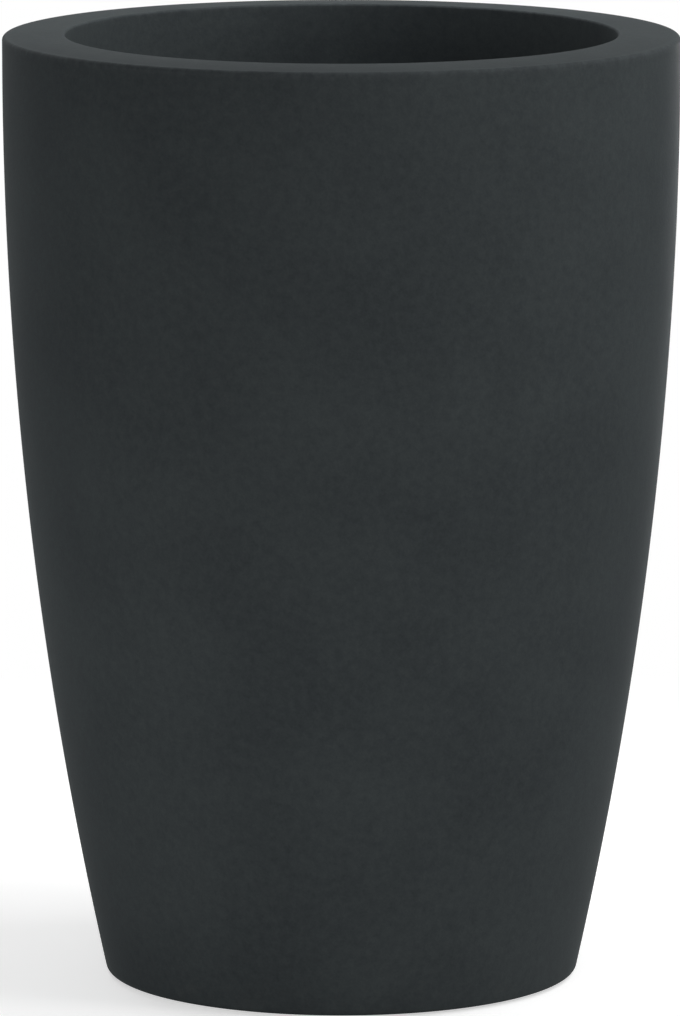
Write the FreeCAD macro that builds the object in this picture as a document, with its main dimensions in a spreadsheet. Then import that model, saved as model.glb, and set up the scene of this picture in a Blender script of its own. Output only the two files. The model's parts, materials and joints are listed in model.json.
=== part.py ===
import FreeCAD, Part
import math
import os
import Sketcher

# Tall round floor planter with a lift-out, self-watering liner.
# +Z is up, the front faces -Y, and the origin is on the pot's axis where the pads meet the floor.

# Driving sizes: millimetres, degrees and counts
SIZES = {
    # Outer shell
    "rim_radius": 200.0,
    "rim_width": 37.0,
    "shell_height": 562.0,
    "band_height": 18.0,
    "base_radius": 140.3,
    "shell_wall": 4.5,
    "rim_outer_round": 2.5,
    "rim_inner_round": 1.5,
    "base_round": 4.0,
    "throat_depth": 58.0,
    "ledge_width": 11.0,
    "foot_ring_width": 38.0,
    "kick_height": 12.0,
    "kick_run": 10.0,
    "drain_radius": 12.0,
    # Floor pads
    "pad_count": 4,
    "pad_first_angle": 45.0,
    "pad_radius": 8.0,
    "pad_stand": 1.5,
    "pad_sink": 1.5,
    "pad_fit": 0.2,
    "pad_round": 0.5,
    # Base stopper
    "stopper_fit": 0.3,
    "stopper_taper": 1.2,
    "stopper_tail": 5.0,
    "stopper_flange_width": 6.0,
    "stopper_flange_thick": 4.0,
    "stopper_round": 1.0,
    "stopper_tab_width": 16.0,
    "stopper_tab_height": 14.0,
    "stopper_tab_thick": 5.0,
    # Planting liner
    "flange_gap": 1.5,
    "flange_thick": 3.0,
    "liner_gap": 2.0,
    "liner_wall": 2.5,
    "liner_floor": 3.0,
    "liner_depth": 320.0,
    "liner_draft": 3.0,
    "step_width": 5.0,
    "reservoir_height": 78.0,
    "flange_round": 1.0,
    "liner_foot_round": 5.0,
    "sump_round": 2.5,
    # Carrying handles and their lugs
    "lug_thick": 3.4,
    "lug_half_width": 5.0,
    "lug_root": 1.0,
    "eye_radius": 5.5,
    "eye_gap": 0.3,
    "pivot_offset": 16.0,
    "eye_clear": 1.2,
    "handle_clear": 3.4,
    "handle_height": 8.0,
    "handle_round": 2.5,
    "grip_angle": 50.0,
    "grip_width": 4.0,
    "trunnion_radius": 2.5,
    "trunnion_play": 0.05,
    # Separator plate
    "separator_gap": 0.8,
    "separator_thick": 3.0,
    "separator_rim_height": 6.0,
    "separator_rim_wall": 2.5,
    "separator_rim_round": 0.8,
    "vent_radius": 4.0,
    "inner_vent_count": 8,
    "inner_vent_circle": 32.0,
    "outer_vent_count": 15,
    "outer_vent_inset": 14.0,
    "outer_vent_first_angle": 130.0,
    "outer_vent_spread": 270.0,
    # Wick columns
    "wick_count": 3,
    "wick_first_angle": 30.0,
    "wick_radius": 14.0,
    "wick_circle": 64.0,
    "wick_rise": 40.0,
    "wick_fit": 0.5,
    "wick_round": 2.0,
    # Filling pipe
    "shaft_radius": 16.0,
    "shaft_wall": 2.0,
    "shaft_foot_gap": 15.0,
    "shaft_edge_gap": 22.0,
    "shaft_fit": 0.4,
    "shaft_drop": 14.0,
    "collar_width": 5.0,
    "collar_thick": 3.0,
    "mouth_radius": 24.0,
    "mouth_flare": 16.0,
    "mouth_lip": 8.0,
    # Filling lid and its hinge
    "lid_thick": 3.0,
    "lid_overhang": 1.0,
    "lid_skirt_depth": 3.0,
    "lid_skirt_gap": 0.8,
    "lid_skirt_wall": 1.6,
    "lid_round": 0.8,
    "lid_tab_reach": 8.0,
    "lid_tab_half_width": 7.0,
    "hinge_reach": 4.5,
    "hinge_lug_radius": 3.5,
    "hinge_lug_thick": 3.0,
    "hinge_side_gap": 0.3,
    "hinge_pin_radius": 1.5,
    "hinge_pin_fit": 0.02,
    "hinge_pin_play": 0.06,
    "knuckle_radius": 3.0,
    "knuckle_half_width": 4.5,
    # Water gauge
    "gauge_radius": 10.0,
    "gauge_wall": 1.5,
    "gauge_lid_gap": 3.0,
    "gauge_collar_width": 3.0,
    "gauge_foot_gap": 2.0,
    "gauge_lip_width": 2.5,
    "gauge_lip_thick": 2.0,
    "gauge_rise": 16.0,
    "gauge_cap_thick": 4.0,
    "gauge_cap_overhang": 1.2,
    "gauge_cap_skirt": 6.0,
    "gauge_cap_fit": 0.1,
    "gauge_cap_round": 1.2,
    "clip_height": 8.0,
    "clip_wall": 3.0,
    "clip_bar_width": 9.0,
    "clip_fit": 0.1,
    "clip_drop": 55.0,
    "float_play": 0.8,
    "float_height": 28.0,
    "float_round": 3.0,
    "float_travel": 40.0,
    "float_head": 1.5,
    "rod_radius": 1.2,
    "flag_radius": 5.0,
    "flag_height": 12.0,
    "flag_round": 1.0,
    # Overflow standpipe and its grommet
    "overflow_height": 66.0,
    "pipe_radius": 7.5,
    "pipe_wall": 1.5,
    "pipe_tail": 8.0,
    "pipe_collar_width": 2.5,
    "pipe_collar_thick": 2.0,
    "pipe_fit": 0.05,
    "grommet_neck": 3.5,
    "grommet_lip": 4.0,
    "grommet_lip_thick": 3.0,
    "grommet_fit": 0.05,
}

# Sizes and places that follow from the driving sizes; heights ending in _z are above the floor
FITS = {
    # Shell, with heights above its own foot ring
    "throat_radius": "Size.rim_radius - Size.rim_width",
    "ledge_radius": "throat_radius - Size.ledge_width",
    "ledge_height": "Size.shell_height - Size.throat_depth",
    "band_foot": "Size.shell_height - Size.band_height",
    "lean": "Size.rim_radius - Size.base_radius",
    "wall_arc": "(band_foot ^ 2 + lean ^ 2) / (2 * lean)",
    "arc_axis": "Size.rim_radius - wall_arc",
    "floor_radius": "arc_axis + sqrt((wall_arc - Size.shell_wall) ^ 2 - (band_foot - Size.shell_wall) ^ 2)",
    "foot_radius": "Size.base_radius - Size.foot_ring_width",
    "plateau_radius": "foot_radius - Size.kick_run",
    "kick_slant": "sqrt(Size.kick_run ^ 2 + Size.kick_height ^ 2)",
    "kick_shift": "Size.shell_wall * (kick_slant - Size.kick_run) / Size.kick_height",
    "plateau_top": "Size.kick_height + Size.shell_wall",
    "pad_circle": "Size.base_radius - Size.foot_ring_width / 2",
    "ledge_z": "Size.pad_stand + ledge_height",
    "plateau_z": "Size.pad_stand + plateau_top",
    # Base stopper, with heights above the floor plate
    "plug_radius": "Size.drain_radius - Size.stopper_fit",
    "plug_foot": "-Size.shell_wall - Size.stopper_tail",
    "stopper_flange_radius": "Size.drain_radius + Size.stopper_flange_width",
    # Liner, with heights above the ledge that carries its flange
    "flange_radius": "throat_radius - Size.flange_gap",
    "liner_radius": "ledge_radius - Size.liner_gap",
    "liner_mouth": "liner_radius - Size.liner_wall",
    "sump_floor": "Size.liner_floor - Size.liner_depth",
    "seat": "sump_floor + Size.reservoir_height",
    "seat_radius": "liner_radius + (seat - Size.liner_wall) * tan(Size.liner_draft)",
    "sump_radius": "seat_radius - Size.step_width",
    "sump_drop": "Size.reservoir_height + Size.liner_floor - Size.liner_wall",
    "sump_foot_radius": "sump_radius - sump_drop * tan(Size.liner_draft)",
    "pivot_height": "Size.flange_thick + Size.eye_gap + Size.eye_radius",
    "flange_top_z": "ledge_z + Size.flange_thick",
    "pivot_z": "ledge_z + pivot_height",
    "seat_z": "ledge_z + seat",
    "sump_floor_z": "ledge_z + sump_floor",
    # Handles
    "eye_inner": "liner_mouth + Size.lug_thick + Size.eye_gap",
    "handle_inner": "sqrt(eye_inner ^ 2 + (Size.pivot_offset + Size.lug_half_width) ^ 2)",
    "handle_outer": "throat_radius - Size.handle_clear",
    "handle_middle": "(handle_inner + handle_outer) / 2",
    "handle_sweep": "180 - 2 * asin(Size.pivot_offset / handle_middle) / 1deg",
    "eye_outer": "sqrt((throat_radius - Size.eye_clear) ^ 2 - (Size.pivot_offset + Size.eye_radius) ^ 2)",
    # Separator and what stands in it
    "separator_radius": "seat_radius - Size.liner_wall - Size.separator_gap",
    "separator_top_z": "seat_z + Size.separator_thick",
    "separator_top": "Size.separator_thick + Size.separator_rim_height",
    "outer_vent_circle": "separator_radius - Size.outer_vent_inset",
    "wick_length": "Size.reservoir_height + Size.separator_thick + Size.wick_rise",
    "sump_depth": "Size.reservoir_height + Size.separator_thick",
    # Filling pipe, with heights above the separator
    "shaft_y": "separator_radius - Size.shaft_edge_gap - Size.collar_width - Size.shaft_radius",
    "shaft_top_z": "flange_top_z - Size.shaft_drop",
    "shaft_bore": "Size.shaft_radius - Size.shaft_wall",
    "shaft_top": "shaft_top_z - separator_top_z",
    "shaft_foot": "Size.shaft_foot_gap - sump_depth",
    "lip_foot": "shaft_top - Size.mouth_lip",
    "flare_foot": "lip_foot - Size.mouth_flare",
    "mouth_bore": "Size.mouth_radius - Size.shaft_wall",
    # Lid, with heights above the mouth of the pipe
    "lid_radius": "Size.mouth_radius + Size.lid_overhang",
    "lid_skirt_radius": "mouth_bore - Size.lid_skirt_gap",
    "hinge_y": "lid_radius + Size.hinge_reach",
    "hinge_height": "Size.lid_thick / 2",
    "hinge_side": "Size.knuckle_half_width + Size.hinge_side_gap",
    "hinge_pin_half": "hinge_side + Size.hinge_lug_thick",
    # Gauge, with heights above the separator
    "gauge_x": "lid_radius + Size.gauge_lid_gap + Size.gauge_radius",
    "gauge_bore": "Size.gauge_radius - Size.gauge_wall",
    "gauge_top_z": "flange_top_z + Size.gauge_rise",
    "gauge_top": "gauge_top_z - separator_top_z",
    "gauge_foot": "Size.gauge_foot_gap - sump_depth",
    "gauge_seat_z": "sump_floor_z + Size.gauge_foot_gap + Size.gauge_lip_thick",
    "rod_z": "gauge_seat_z + Size.float_height",
    "flag_stop_z": "gauge_top_z - Size.gauge_cap_skirt - Size.float_head - Size.float_travel",
    "flag_z": "flag_stop_z - Size.flag_height",
    "clip_z": "shaft_top_z - Size.clip_drop",
    # Standpipe and grommet, with heights above the liner floor
    "grommet_bore": "Size.pipe_radius + Size.pipe_fit",
    "grommet_hole": "grommet_bore + Size.grommet_neck",
    "grommet_outer": "grommet_hole + Size.grommet_lip",
}

NEAR = 0.01


def make_sheet(name, cells):
    """One row per value: its name in column A, and the number or formula under that alias in column B."""
    sheet = doc.addObject("Spreadsheet::Sheet", name)
    for row, (alias, content) in enumerate(cells.items(), start=1):
        sheet.set(f"A{row}", alias)
        sheet.set(f"B{row}", f"={content}" if isinstance(content, str) else str(content))
        sheet.setAlias(f"B{row}", alias)
    return sheet


def value(expression):
    """The number that an expression on the sheets gives now."""
    return float(doc.Size.evalExpression(expression))


def origin_feature(body, role):
    """One of the body's own origin planes or axes."""
    return next(feature for feature in body.Origin.OriginFeatures if feature.Role == role)


def new_body(label, place):
    """An empty body whose origin stands at the three expressions of place."""
    body = doc.addObject("PartDesign::Body", label)
    for axis, expression in zip("xyz", place):
        body.setExpression(f"Placement.Base.{axis}", expression)
    return body


def new_sketch(body, label, plane, offset="0"):
    """A sketch on one of the body's origin planes, moved along that plane's normal."""
    sketch = body.newObject("Sketcher::SketchObject", label)
    sketch.AttachmentSupport = [(origin_feature(body, plane), "")]
    sketch.MapMode = "FlatFace"
    sketch.setExpression("AttachmentOffset.Base.z", offset)
    return sketch


def bind(sketch, constraint, expression):
    """Adds a constraint and ties its size to an expression."""
    index = sketch.addConstraint(constraint)
    sketch.setExpression(f"Constraints[{index}]", expression)


def pin_point(sketch, shape, vertex, across, along):
    """Holds a point of a sketch at two expressions, measured from the sketch's origin."""
    bind(sketch, Sketcher.Constraint("DistanceX", -1, 1, shape, vertex, value(across)), across)
    bind(sketch, Sketcher.Constraint("DistanceY", -1, 1, shape, vertex, value(along)), along)


def arc_between(start, stop, centre_height, turn):
    """The arc from start to stop about a centre at the given height, turning left or right."""
    rise = (start.y - centre_height) ** 2 - (stop.y - centre_height) ** 2
    across = (start.x ** 2 - stop.x ** 2 + rise) / (2 * (start.x - stop.x))
    centre = FreeCAD.Vector(across, centre_height, 0)
    first, last = (start, stop) if turn == "left" else (stop, start)
    angles = [math.atan2(point.y - centre.y, point.x - centre.x) for point in (first, last)]
    circle = Part.Circle(centre, FreeCAD.Vector(0, 0, 1), centre.distanceToPoint(start))
    return Part.ArcOfCircle(circle, *angles)


def draw_outline(sketch, corners, arcs=None):
    """A closed outline through the corners, each a pair of expressions.

    arcs gives, for the number of a side, the height of its arc's centre and the way it turns."""
    arcs = arcs or {}
    points = [FreeCAD.Vector(value(across), value(along), 0) for across, along in corners]
    sides = []
    for number, start in enumerate(points):
        stop = points[(number + 1) % len(points)]
        if number in arcs:
            height, turn = arcs[number]
            shape = sketch.addGeometry(arc_between(start, stop, value(height), turn))
            sides.append((shape, 1, 2) if turn == "left" else (shape, 2, 1))
        else:
            sides.append((sketch.addGeometry(Part.LineSegment(start, stop)), 1, 2))
    for number, (shape, first, last) in enumerate(sides):
        following, opening, _ = sides[(number + 1) % len(sides)]
        sketch.addConstraint(Sketcher.Constraint("Coincident", shape, last, following, opening))
        pin_point(sketch, shape, first, *corners[number])
        if number in arcs:
            height = arcs[number][0]
            bind(sketch, Sketcher.Constraint("DistanceY", -1, 1, shape, 3, value(height)), height)


def draw_circle(sketch, across, along, radius):
    """A full circle about a point given by two expressions."""
    centre = FreeCAD.Vector(value(across), value(along), 0)
    circle = Part.Circle(centre, FreeCAD.Vector(0, 0, 1), value(radius))
    shape = sketch.addGeometry(circle)
    pin_point(sketch, shape, 3, across, along)
    bind(sketch, Sketcher.Constraint("Radius", shape, value(radius)), radius)


def finish_feature(body, feature):
    """Makes the feature the body's tip and works it out."""
    body.Tip = feature
    doc.recompute()
    return feature


def revolve(body, sketch, angle="360", axis="V_Axis"):
    """Turns a sketch about its own upright axis or one of its edges, evenly to both sides of its plane."""
    turn = body.newObject("PartDesign::Revolution", f"{sketch.Label}_turn")
    turn.Profile = sketch
    turn.ReferenceAxis = (sketch, [axis])
    turn.Midplane = True
    turn.setExpression("Angle", angle)
    return finish_feature(body, turn)


def turned(label, corners, arcs=None, place=("0", "0", "0")):
    """A body turned about its own axis from a half section of (radius, height) corners."""
    body = new_body(label, place)
    sketch = new_sketch(body, f"{label}_section", "XZ_Plane")
    draw_outline(sketch, corners, arcs)
    revolve(body, sketch)
    return body


def pad(body, sketch, length):
    """Raises a sketch along its plane's normal."""
    raised = body.newObject("PartDesign::Pad", f"{sketch.Label}_pad")
    raised.Profile = sketch
    raised.setExpression("Length", length)
    return finish_feature(body, raised)


def pocket(body, sketch, length=None):
    """Cuts a sketch along its plane's normal, by a length or right through."""
    before = body.Tip.Shape.Volume
    cut = body.newObject("PartDesign::Pocket", f"{sketch.Label}_cut")
    cut.Profile = sketch
    cut.Reversed = True
    if length:
        cut.setExpression("Length", length)
    else:
        cut.Type = "ThroughAll"
    finish_feature(body, cut)
    if not cut.Shape.Volume < before:
        raise RuntimeError(f"{sketch.Label} cuts nothing")
    return cut


def round_hole(body, label, across, along, radius, depth=None):
    """A hole cut upwards from the body's own ground plane."""
    sketch = new_sketch(body, label, "XY_Plane")
    draw_circle(sketch, across, along, radius)
    return pocket(body, sketch, depth)


def ring_of(body, label, features, count, angle="360"):
    """Repeats features about the body's upright axis."""
    pattern = body.newObject("PartDesign::PolarPattern", label)
    pattern.Originals = features
    pattern.Axis = (origin_feature(body, "Z_Axis"), [""])
    pattern.setExpression("Angle", angle)
    pattern.setExpression("Occurrences", count)
    return finish_feature(body, pattern)


def mirror(body, label, features, plane):
    """Repeats features on the other side of one of the body's origin planes."""
    copy = body.newObject("PartDesign::Mirrored", label)
    copy.Originals = features
    copy.MirrorPlane = (origin_feature(body, plane), [""])
    return finish_feature(body, copy)


def round_rings(body, label, radius, rings):
    """Rounds the circular edges about the body's axis at the given (radius, height) places."""
    base = body.Tip
    places = [(value(across), value(height)) for across, height in rings]
    names = []
    for number, edge in enumerate(base.Shape.Edges, start=1):
        if not isinstance(edge.Curve, Part.Circle):
            continue
        centre = edge.Curve.Center
        for across, height in places:
            on_axis = math.hypot(centre.x, centre.y) < NEAR
            if on_axis and abs(edge.Curve.Radius - across) < NEAR and abs(centre.z - height) < NEAR:
                names.append(f"Edge{number}")
    if len(names) < len(rings):
        raise RuntimeError(f"{label} finds {len(names)} of {len(rings)} edges")
    fillet = body.newObject("PartDesign::Fillet", label)
    fillet.Base = (base, names)
    fillet.setExpression("Radius", radius)
    return finish_feature(body, fillet)


def on_ring(radius, angle):
    """Two expressions for a point on a ring about the pot's axis."""
    return f"{radius} * cos({angle})", f"{radius} * sin({angle})"


def outer_shell():
    """Moulded shell: foot ring, raised floor, curved taper, band, flat rim, throat and liner ledge."""
    corners = [
        ("Size.drain_radius", "Size.kick_height"),
        ("Fit.plateau_radius", "Size.kick_height"),
        ("Fit.foot_radius", "0"),
        ("Size.base_radius", "0"),
        ("Size.rim_radius", "Fit.band_foot"),
        ("Size.rim_radius", "Size.shell_height"),
        ("Fit.throat_radius", "Size.shell_height"),
        ("Fit.throat_radius", "Fit.ledge_height"),
        ("Fit.ledge_radius", "Fit.ledge_height"),
        ("Fit.ledge_radius", "Fit.ledge_height - Size.shell_wall"),
        ("Fit.throat_radius + Size.shell_wall", "Fit.ledge_height - Size.shell_wall"),
        ("Fit.throat_radius + Size.shell_wall", "Size.shell_height - Size.shell_wall"),
        ("Size.rim_radius - Size.shell_wall", "Size.shell_height - Size.shell_wall"),
        ("Size.rim_radius - Size.shell_wall", "Fit.band_foot"),
        ("Fit.floor_radius", "Size.shell_wall"),
        ("Fit.foot_radius + Fit.kick_shift", "Size.shell_wall"),
        ("Fit.plateau_radius + Fit.kick_shift", "Fit.plateau_top"),
        ("Size.drain_radius", "Fit.plateau_top"),
    ]
    outer_wall = 3
    inner_wall = 13
    arcs = {outer_wall: ("Fit.band_foot", "left"), inner_wall: ("Fit.band_foot", "right")}
    body = turned("outer_shell", corners, arcs, ("0", "0", "Size.pad_stand"))
    round_rings(body, "rim_outer_edge", "Size.rim_outer_round", [("Size.rim_radius", "Size.shell_height")])
    round_rings(body, "rim_inner_edge", "Size.rim_inner_round", [("Fit.throat_radius", "Size.shell_height")])
    round_rings(body, "base_edge", "Size.base_round", [("Size.base_radius", "0")])
    across, along = on_ring("Fit.pad_circle", "Size.pad_first_angle")
    seat = round_hole(body, "pad_seat", across, along, "Size.pad_radius + Size.pad_fit", "Size.pad_sink")
    ring_of(body, "pad_seats", [seat], "Size.pad_count")
    return body


def floor_pad(number, angle):
    """Rubber disc let into the foot ring."""
    corners = [
        ("0", "0"),
        ("Size.pad_radius", "0"),
        ("Size.pad_radius", "Size.pad_stand + Size.pad_sink"),
        ("0", "Size.pad_stand + Size.pad_sink"),
    ]
    place = (*on_ring("Fit.pad_circle", angle), "0")
    body = turned(f"floor_pad_{number}", corners, place=place)
    round_rings(body, f"floor_pad_{number}_edge", "Size.pad_round", [("Size.pad_radius", "0")])
    return body


def base_stopper():
    """Rubber stopper that drops into the drain hole from inside, with an upright pull tab."""
    corners = [
        ("0", "Fit.plug_foot"),
        ("Fit.plug_radius - Size.stopper_taper", "Fit.plug_foot"),
        ("Fit.plug_radius", "0"),
        ("Fit.stopper_flange_radius", "0"),
        ("Fit.stopper_flange_radius", "Size.stopper_flange_thick"),
        ("0", "Size.stopper_flange_thick"),
    ]
    body = turned("base_stopper", corners, place=("0", "0", "Fit.plateau_z"))
    flange_edge = ("Fit.stopper_flange_radius", "Size.stopper_flange_thick")
    round_rings(body, "stopper_flange_edge", "Size.stopper_round", [flange_edge])
    half = "Size.stopper_tab_width / 2"
    shoulder = "Size.stopper_flange_thick + Size.stopper_tab_height - Size.stopper_tab_width / 2"
    corners = [(f"-{half}", "0"), (half, "0"), (half, shoulder), (f"-{half}", shoulder)]
    sketch = new_sketch(body, "stopper_tab", "XZ_Plane", "-Size.stopper_tab_thick / 2")
    crown = 2
    draw_outline(sketch, corners, {crown: (shoulder, "left")})
    pad(body, sketch, "Size.stopper_tab_thick")
    return body


def liner_lug(body, label, side):
    """Upright plate on the flange with the hole for a handle's trunnion; side is 1 or -1 along Y."""
    sketch = new_sketch(body, label, "YZ_Plane", "Fit.liner_mouth")
    middle = f"{side} * Size.pivot_offset"
    low = "Size.flange_thick - Size.lug_root"
    left = f"{middle} - Size.lug_half_width"
    right = f"{middle} + Size.lug_half_width"
    corners = [(left, low), (right, low), (right, "Fit.pivot_height"), (left, "Fit.pivot_height")]
    crown = 2
    draw_outline(sketch, corners, {crown: ("Fit.pivot_height", "left")})
    draw_circle(sketch, middle, "Fit.pivot_height", "Size.trunnion_radius + Size.trunnion_play")
    return pad(body, sketch, "Size.lug_thick")


def planting_liner():
    """Drafted liner that hangs by its flange, with a step that carries the separator."""
    corners = [
        ("Fit.grommet_hole + Size.grommet_fit", "-Size.liner_depth"),
        ("Fit.sump_foot_radius", "-Size.liner_depth"),
        ("Fit.sump_radius", "Fit.seat - Size.liner_wall"),
        ("Fit.seat_radius", "Fit.seat - Size.liner_wall"),
        ("Fit.liner_radius", "0"),
        ("Fit.flange_radius", "0"),
        ("Fit.flange_radius", "Size.flange_thick"),
        ("Fit.liner_mouth", "Size.flange_thick"),
        ("Fit.seat_radius - Size.liner_wall", "Fit.seat"),
        ("Fit.sump_radius - Size.liner_wall", "Fit.seat"),
        ("Fit.sump_foot_radius - Size.liner_wall", "Fit.sump_floor"),
        ("Fit.grommet_hole + Size.grommet_fit", "Fit.sump_floor"),
    ]
    body = turned("planting_liner", corners, place=("0", "0", "Fit.ledge_z"))
    flange_edge = ("Fit.flange_radius", "Size.flange_thick")
    round_rings(body, "liner_flange_edge", "Size.flange_round", [flange_edge])
    foot_edge = ("Fit.sump_foot_radius", "-Size.liner_depth")
    round_rings(body, "liner_foot_edge", "Size.liner_foot_round", [foot_edge])
    sump_corner = ("Fit.sump_foot_radius - Size.liner_wall", "Fit.sump_floor")
    round_rings(body, "sump_corner", "Size.sump_round", [sump_corner])
    lugs = [liner_lug(body, "rear_lug", 1), liner_lug(body, "front_lug", -1)]
    ring_of(body, "liner_lugs", lugs, "2")
    return body


def handle_band(body, label, inner, outer, angle):
    """A stretch of the handle's bow between two radii, evenly to both sides of its middle."""
    low = "-Size.handle_height / 2"
    high = "Size.handle_height / 2"
    sketch = new_sketch(body, label, "YZ_Plane")
    draw_outline(sketch, [(inner, low), (outer, low), (outer, high), (inner, high)])
    revolve(body, sketch, angle)


def handle_end(body, label, side):
    """Eye and trunnion turned in one about the pivot; side is 1 or -1 along X."""
    sketch = new_sketch(body, label, "XY_Plane")
    trunnion = "Size.pivot_offset + Size.trunnion_radius"
    eye = "Size.pivot_offset + Size.eye_radius"
    draw_outline(sketch, [
        (f"{side} * Fit.liner_mouth", "Size.pivot_offset"),
        (f"{side} * Fit.liner_mouth", trunnion),
        (f"{side} * Fit.eye_inner", trunnion),
        (f"{side} * Fit.eye_inner", eye),
        (f"{side} * Fit.eye_outer", eye),
        (f"{side} * Fit.eye_outer", "Size.pivot_offset"),
    ])
    pivot_side = "Edge6"
    revolve(body, sketch, axis=pivot_side)


def carrying_handle(label, turn):
    """Half-ring bow with a wider grip, an eye at each end and trunnions that reach into the lugs."""
    body = new_body(label, ("0", "0", "Fit.pivot_z"))
    body.Placement.Rotation = FreeCAD.Rotation(FreeCAD.Vector(0, 0, 1), turn)
    faces = ("-Size.handle_height / 2", "Size.handle_height / 2")
    handle_band(body, f"{label}_bow", "Fit.handle_inner", "Fit.handle_outer", "Fit.handle_sweep")
    bow_edges = [(radius, face) for radius in ("Fit.handle_inner", "Fit.handle_outer") for face in faces]
    round_rings(body, f"{label}_bow_edges", "Size.handle_round", bow_edges)
    grip_inner = "Fit.handle_inner - Size.grip_width"
    handle_band(body, f"{label}_grip", grip_inner, "Fit.handle_middle", "Size.grip_angle")
    round_rings(body, f"{label}_grip_edges", "Size.handle_round", [(grip_inner, face) for face in faces])
    handle_end(body, f"{label}_right_end", 1)
    handle_end(body, f"{label}_left_end", -1)
    return body


def separator_plate():
    """Round plate with an upstand rim, holes for the wicks and pipes, and two rings of vents."""
    corners = [
        ("0", "0"),
        ("Fit.separator_radius", "0"),
        ("Fit.separator_radius", "Fit.separator_top"),
        ("Fit.separator_radius - Size.separator_rim_wall", "Fit.separator_top"),
        ("Fit.separator_radius - Size.separator_rim_wall", "Size.separator_thick"),
        ("0", "Size.separator_thick"),
    ]
    body = turned("separator_plate", corners, place=("0", "0", "Fit.seat_z"))
    rim_edges = [
        ("Fit.separator_radius", "Fit.separator_top"),
        ("Fit.separator_radius - Size.separator_rim_wall", "Fit.separator_top"),
    ]
    round_rings(body, "separator_rim_edges", "Size.separator_rim_round", rim_edges)
    round_hole(body, "shaft_hole", "0", "Fit.shaft_y", "Size.shaft_radius + Size.shaft_fit")
    round_hole(body, "gauge_hole", "Fit.gauge_x", "Fit.shaft_y", "Size.gauge_radius + Size.shaft_fit")
    across, along = on_ring("Size.wick_circle", "Size.wick_first_angle")
    wick_hole = round_hole(body, "wick_hole", across, along, "Size.wick_radius + Size.wick_fit")
    ring_of(body, "wick_holes", [wick_hole], "Size.wick_count")
    inner_vent = round_hole(body, "inner_vent", "Size.inner_vent_circle", "0", "Size.vent_radius")
    ring_of(body, "inner_vents", [inner_vent], "Size.inner_vent_count")
    across, along = on_ring("Fit.outer_vent_circle", "Size.outer_vent_first_angle")
    outer_vent = round_hole(body, "outer_vent", across, along, "Size.vent_radius")
    ring_of(body, "outer_vents", [outer_vent], "Size.outer_vent_count", "Size.outer_vent_spread")
    return body


def wick_column(number, angle):
    """Felt column from the liner floor up through the separator into the soil."""
    corners = [
        ("0", "0"),
        ("Size.wick_radius", "0"),
        ("Size.wick_radius", "Fit.wick_length"),
        ("0", "Fit.wick_length"),
    ]
    place = (*on_ring("Size.wick_circle", angle), "Fit.sump_floor_z")
    body = turned(f"wick_column_{number}", corners, place=place)
    top_edge = ("Size.wick_radius", "Fit.wick_length")
    round_rings(body, f"wick_column_{number}_top", "Size.wick_round", [top_edge])
    return body


def hinge_lug(body):
    """Cheek behind the pipe's mouth with the hole for the hinge pin."""
    sketch = new_sketch(body, "hinge_cheek", "YZ_Plane", "Fit.hinge_side")
    axis_height = "Fit.shaft_top + Fit.hinge_height"
    corners = [
        ("Fit.mouth_bore", "Fit.lip_foot"),
        ("Size.mouth_radius", "Fit.lip_foot"),
        ("Fit.hinge_y + Size.hinge_lug_radius", axis_height),
        ("Fit.hinge_y - Size.hinge_lug_radius", axis_height),
        ("Fit.hinge_y - Size.hinge_lug_radius", "Fit.shaft_top"),
        ("Fit.mouth_bore", "Fit.shaft_top"),
    ]
    crown = 2
    draw_outline(sketch, corners, {crown: (axis_height, "left")})
    draw_circle(sketch, "Fit.hinge_y", axis_height, "Size.hinge_pin_radius + Size.hinge_pin_fit")
    return pad(body, sketch, "Size.hinge_lug_thick")


def fill_shaft():
    """Filling pipe with a collar that rests on the separator and a funnel mouth with hinge cheeks."""
    collar = "Size.shaft_radius + Size.collar_width"
    corners = [
        ("Fit.shaft_bore", "Fit.shaft_foot"),
        ("Size.shaft_radius", "Fit.shaft_foot"),
        ("Size.shaft_radius", "0"),
        (collar, "0"),
        (collar, "Size.collar_thick"),
        ("Size.shaft_radius", "Size.collar_thick"),
        ("Size.shaft_radius", "Fit.flare_foot"),
        ("Size.mouth_radius", "Fit.lip_foot"),
        ("Size.mouth_radius", "Fit.shaft_top"),
        ("Fit.mouth_bore", "Fit.shaft_top"),
        ("Fit.mouth_bore", "Fit.lip_foot"),
        ("Fit.shaft_bore", "Fit.flare_foot"),
    ]
    body = turned("fill_shaft", corners, place=("0", "Fit.shaft_y", "Fit.separator_top_z"))
    cheek = hinge_lug(body)
    mirror(body, "far_hinge_cheek", [cheek], "YZ_Plane")
    return body


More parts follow.
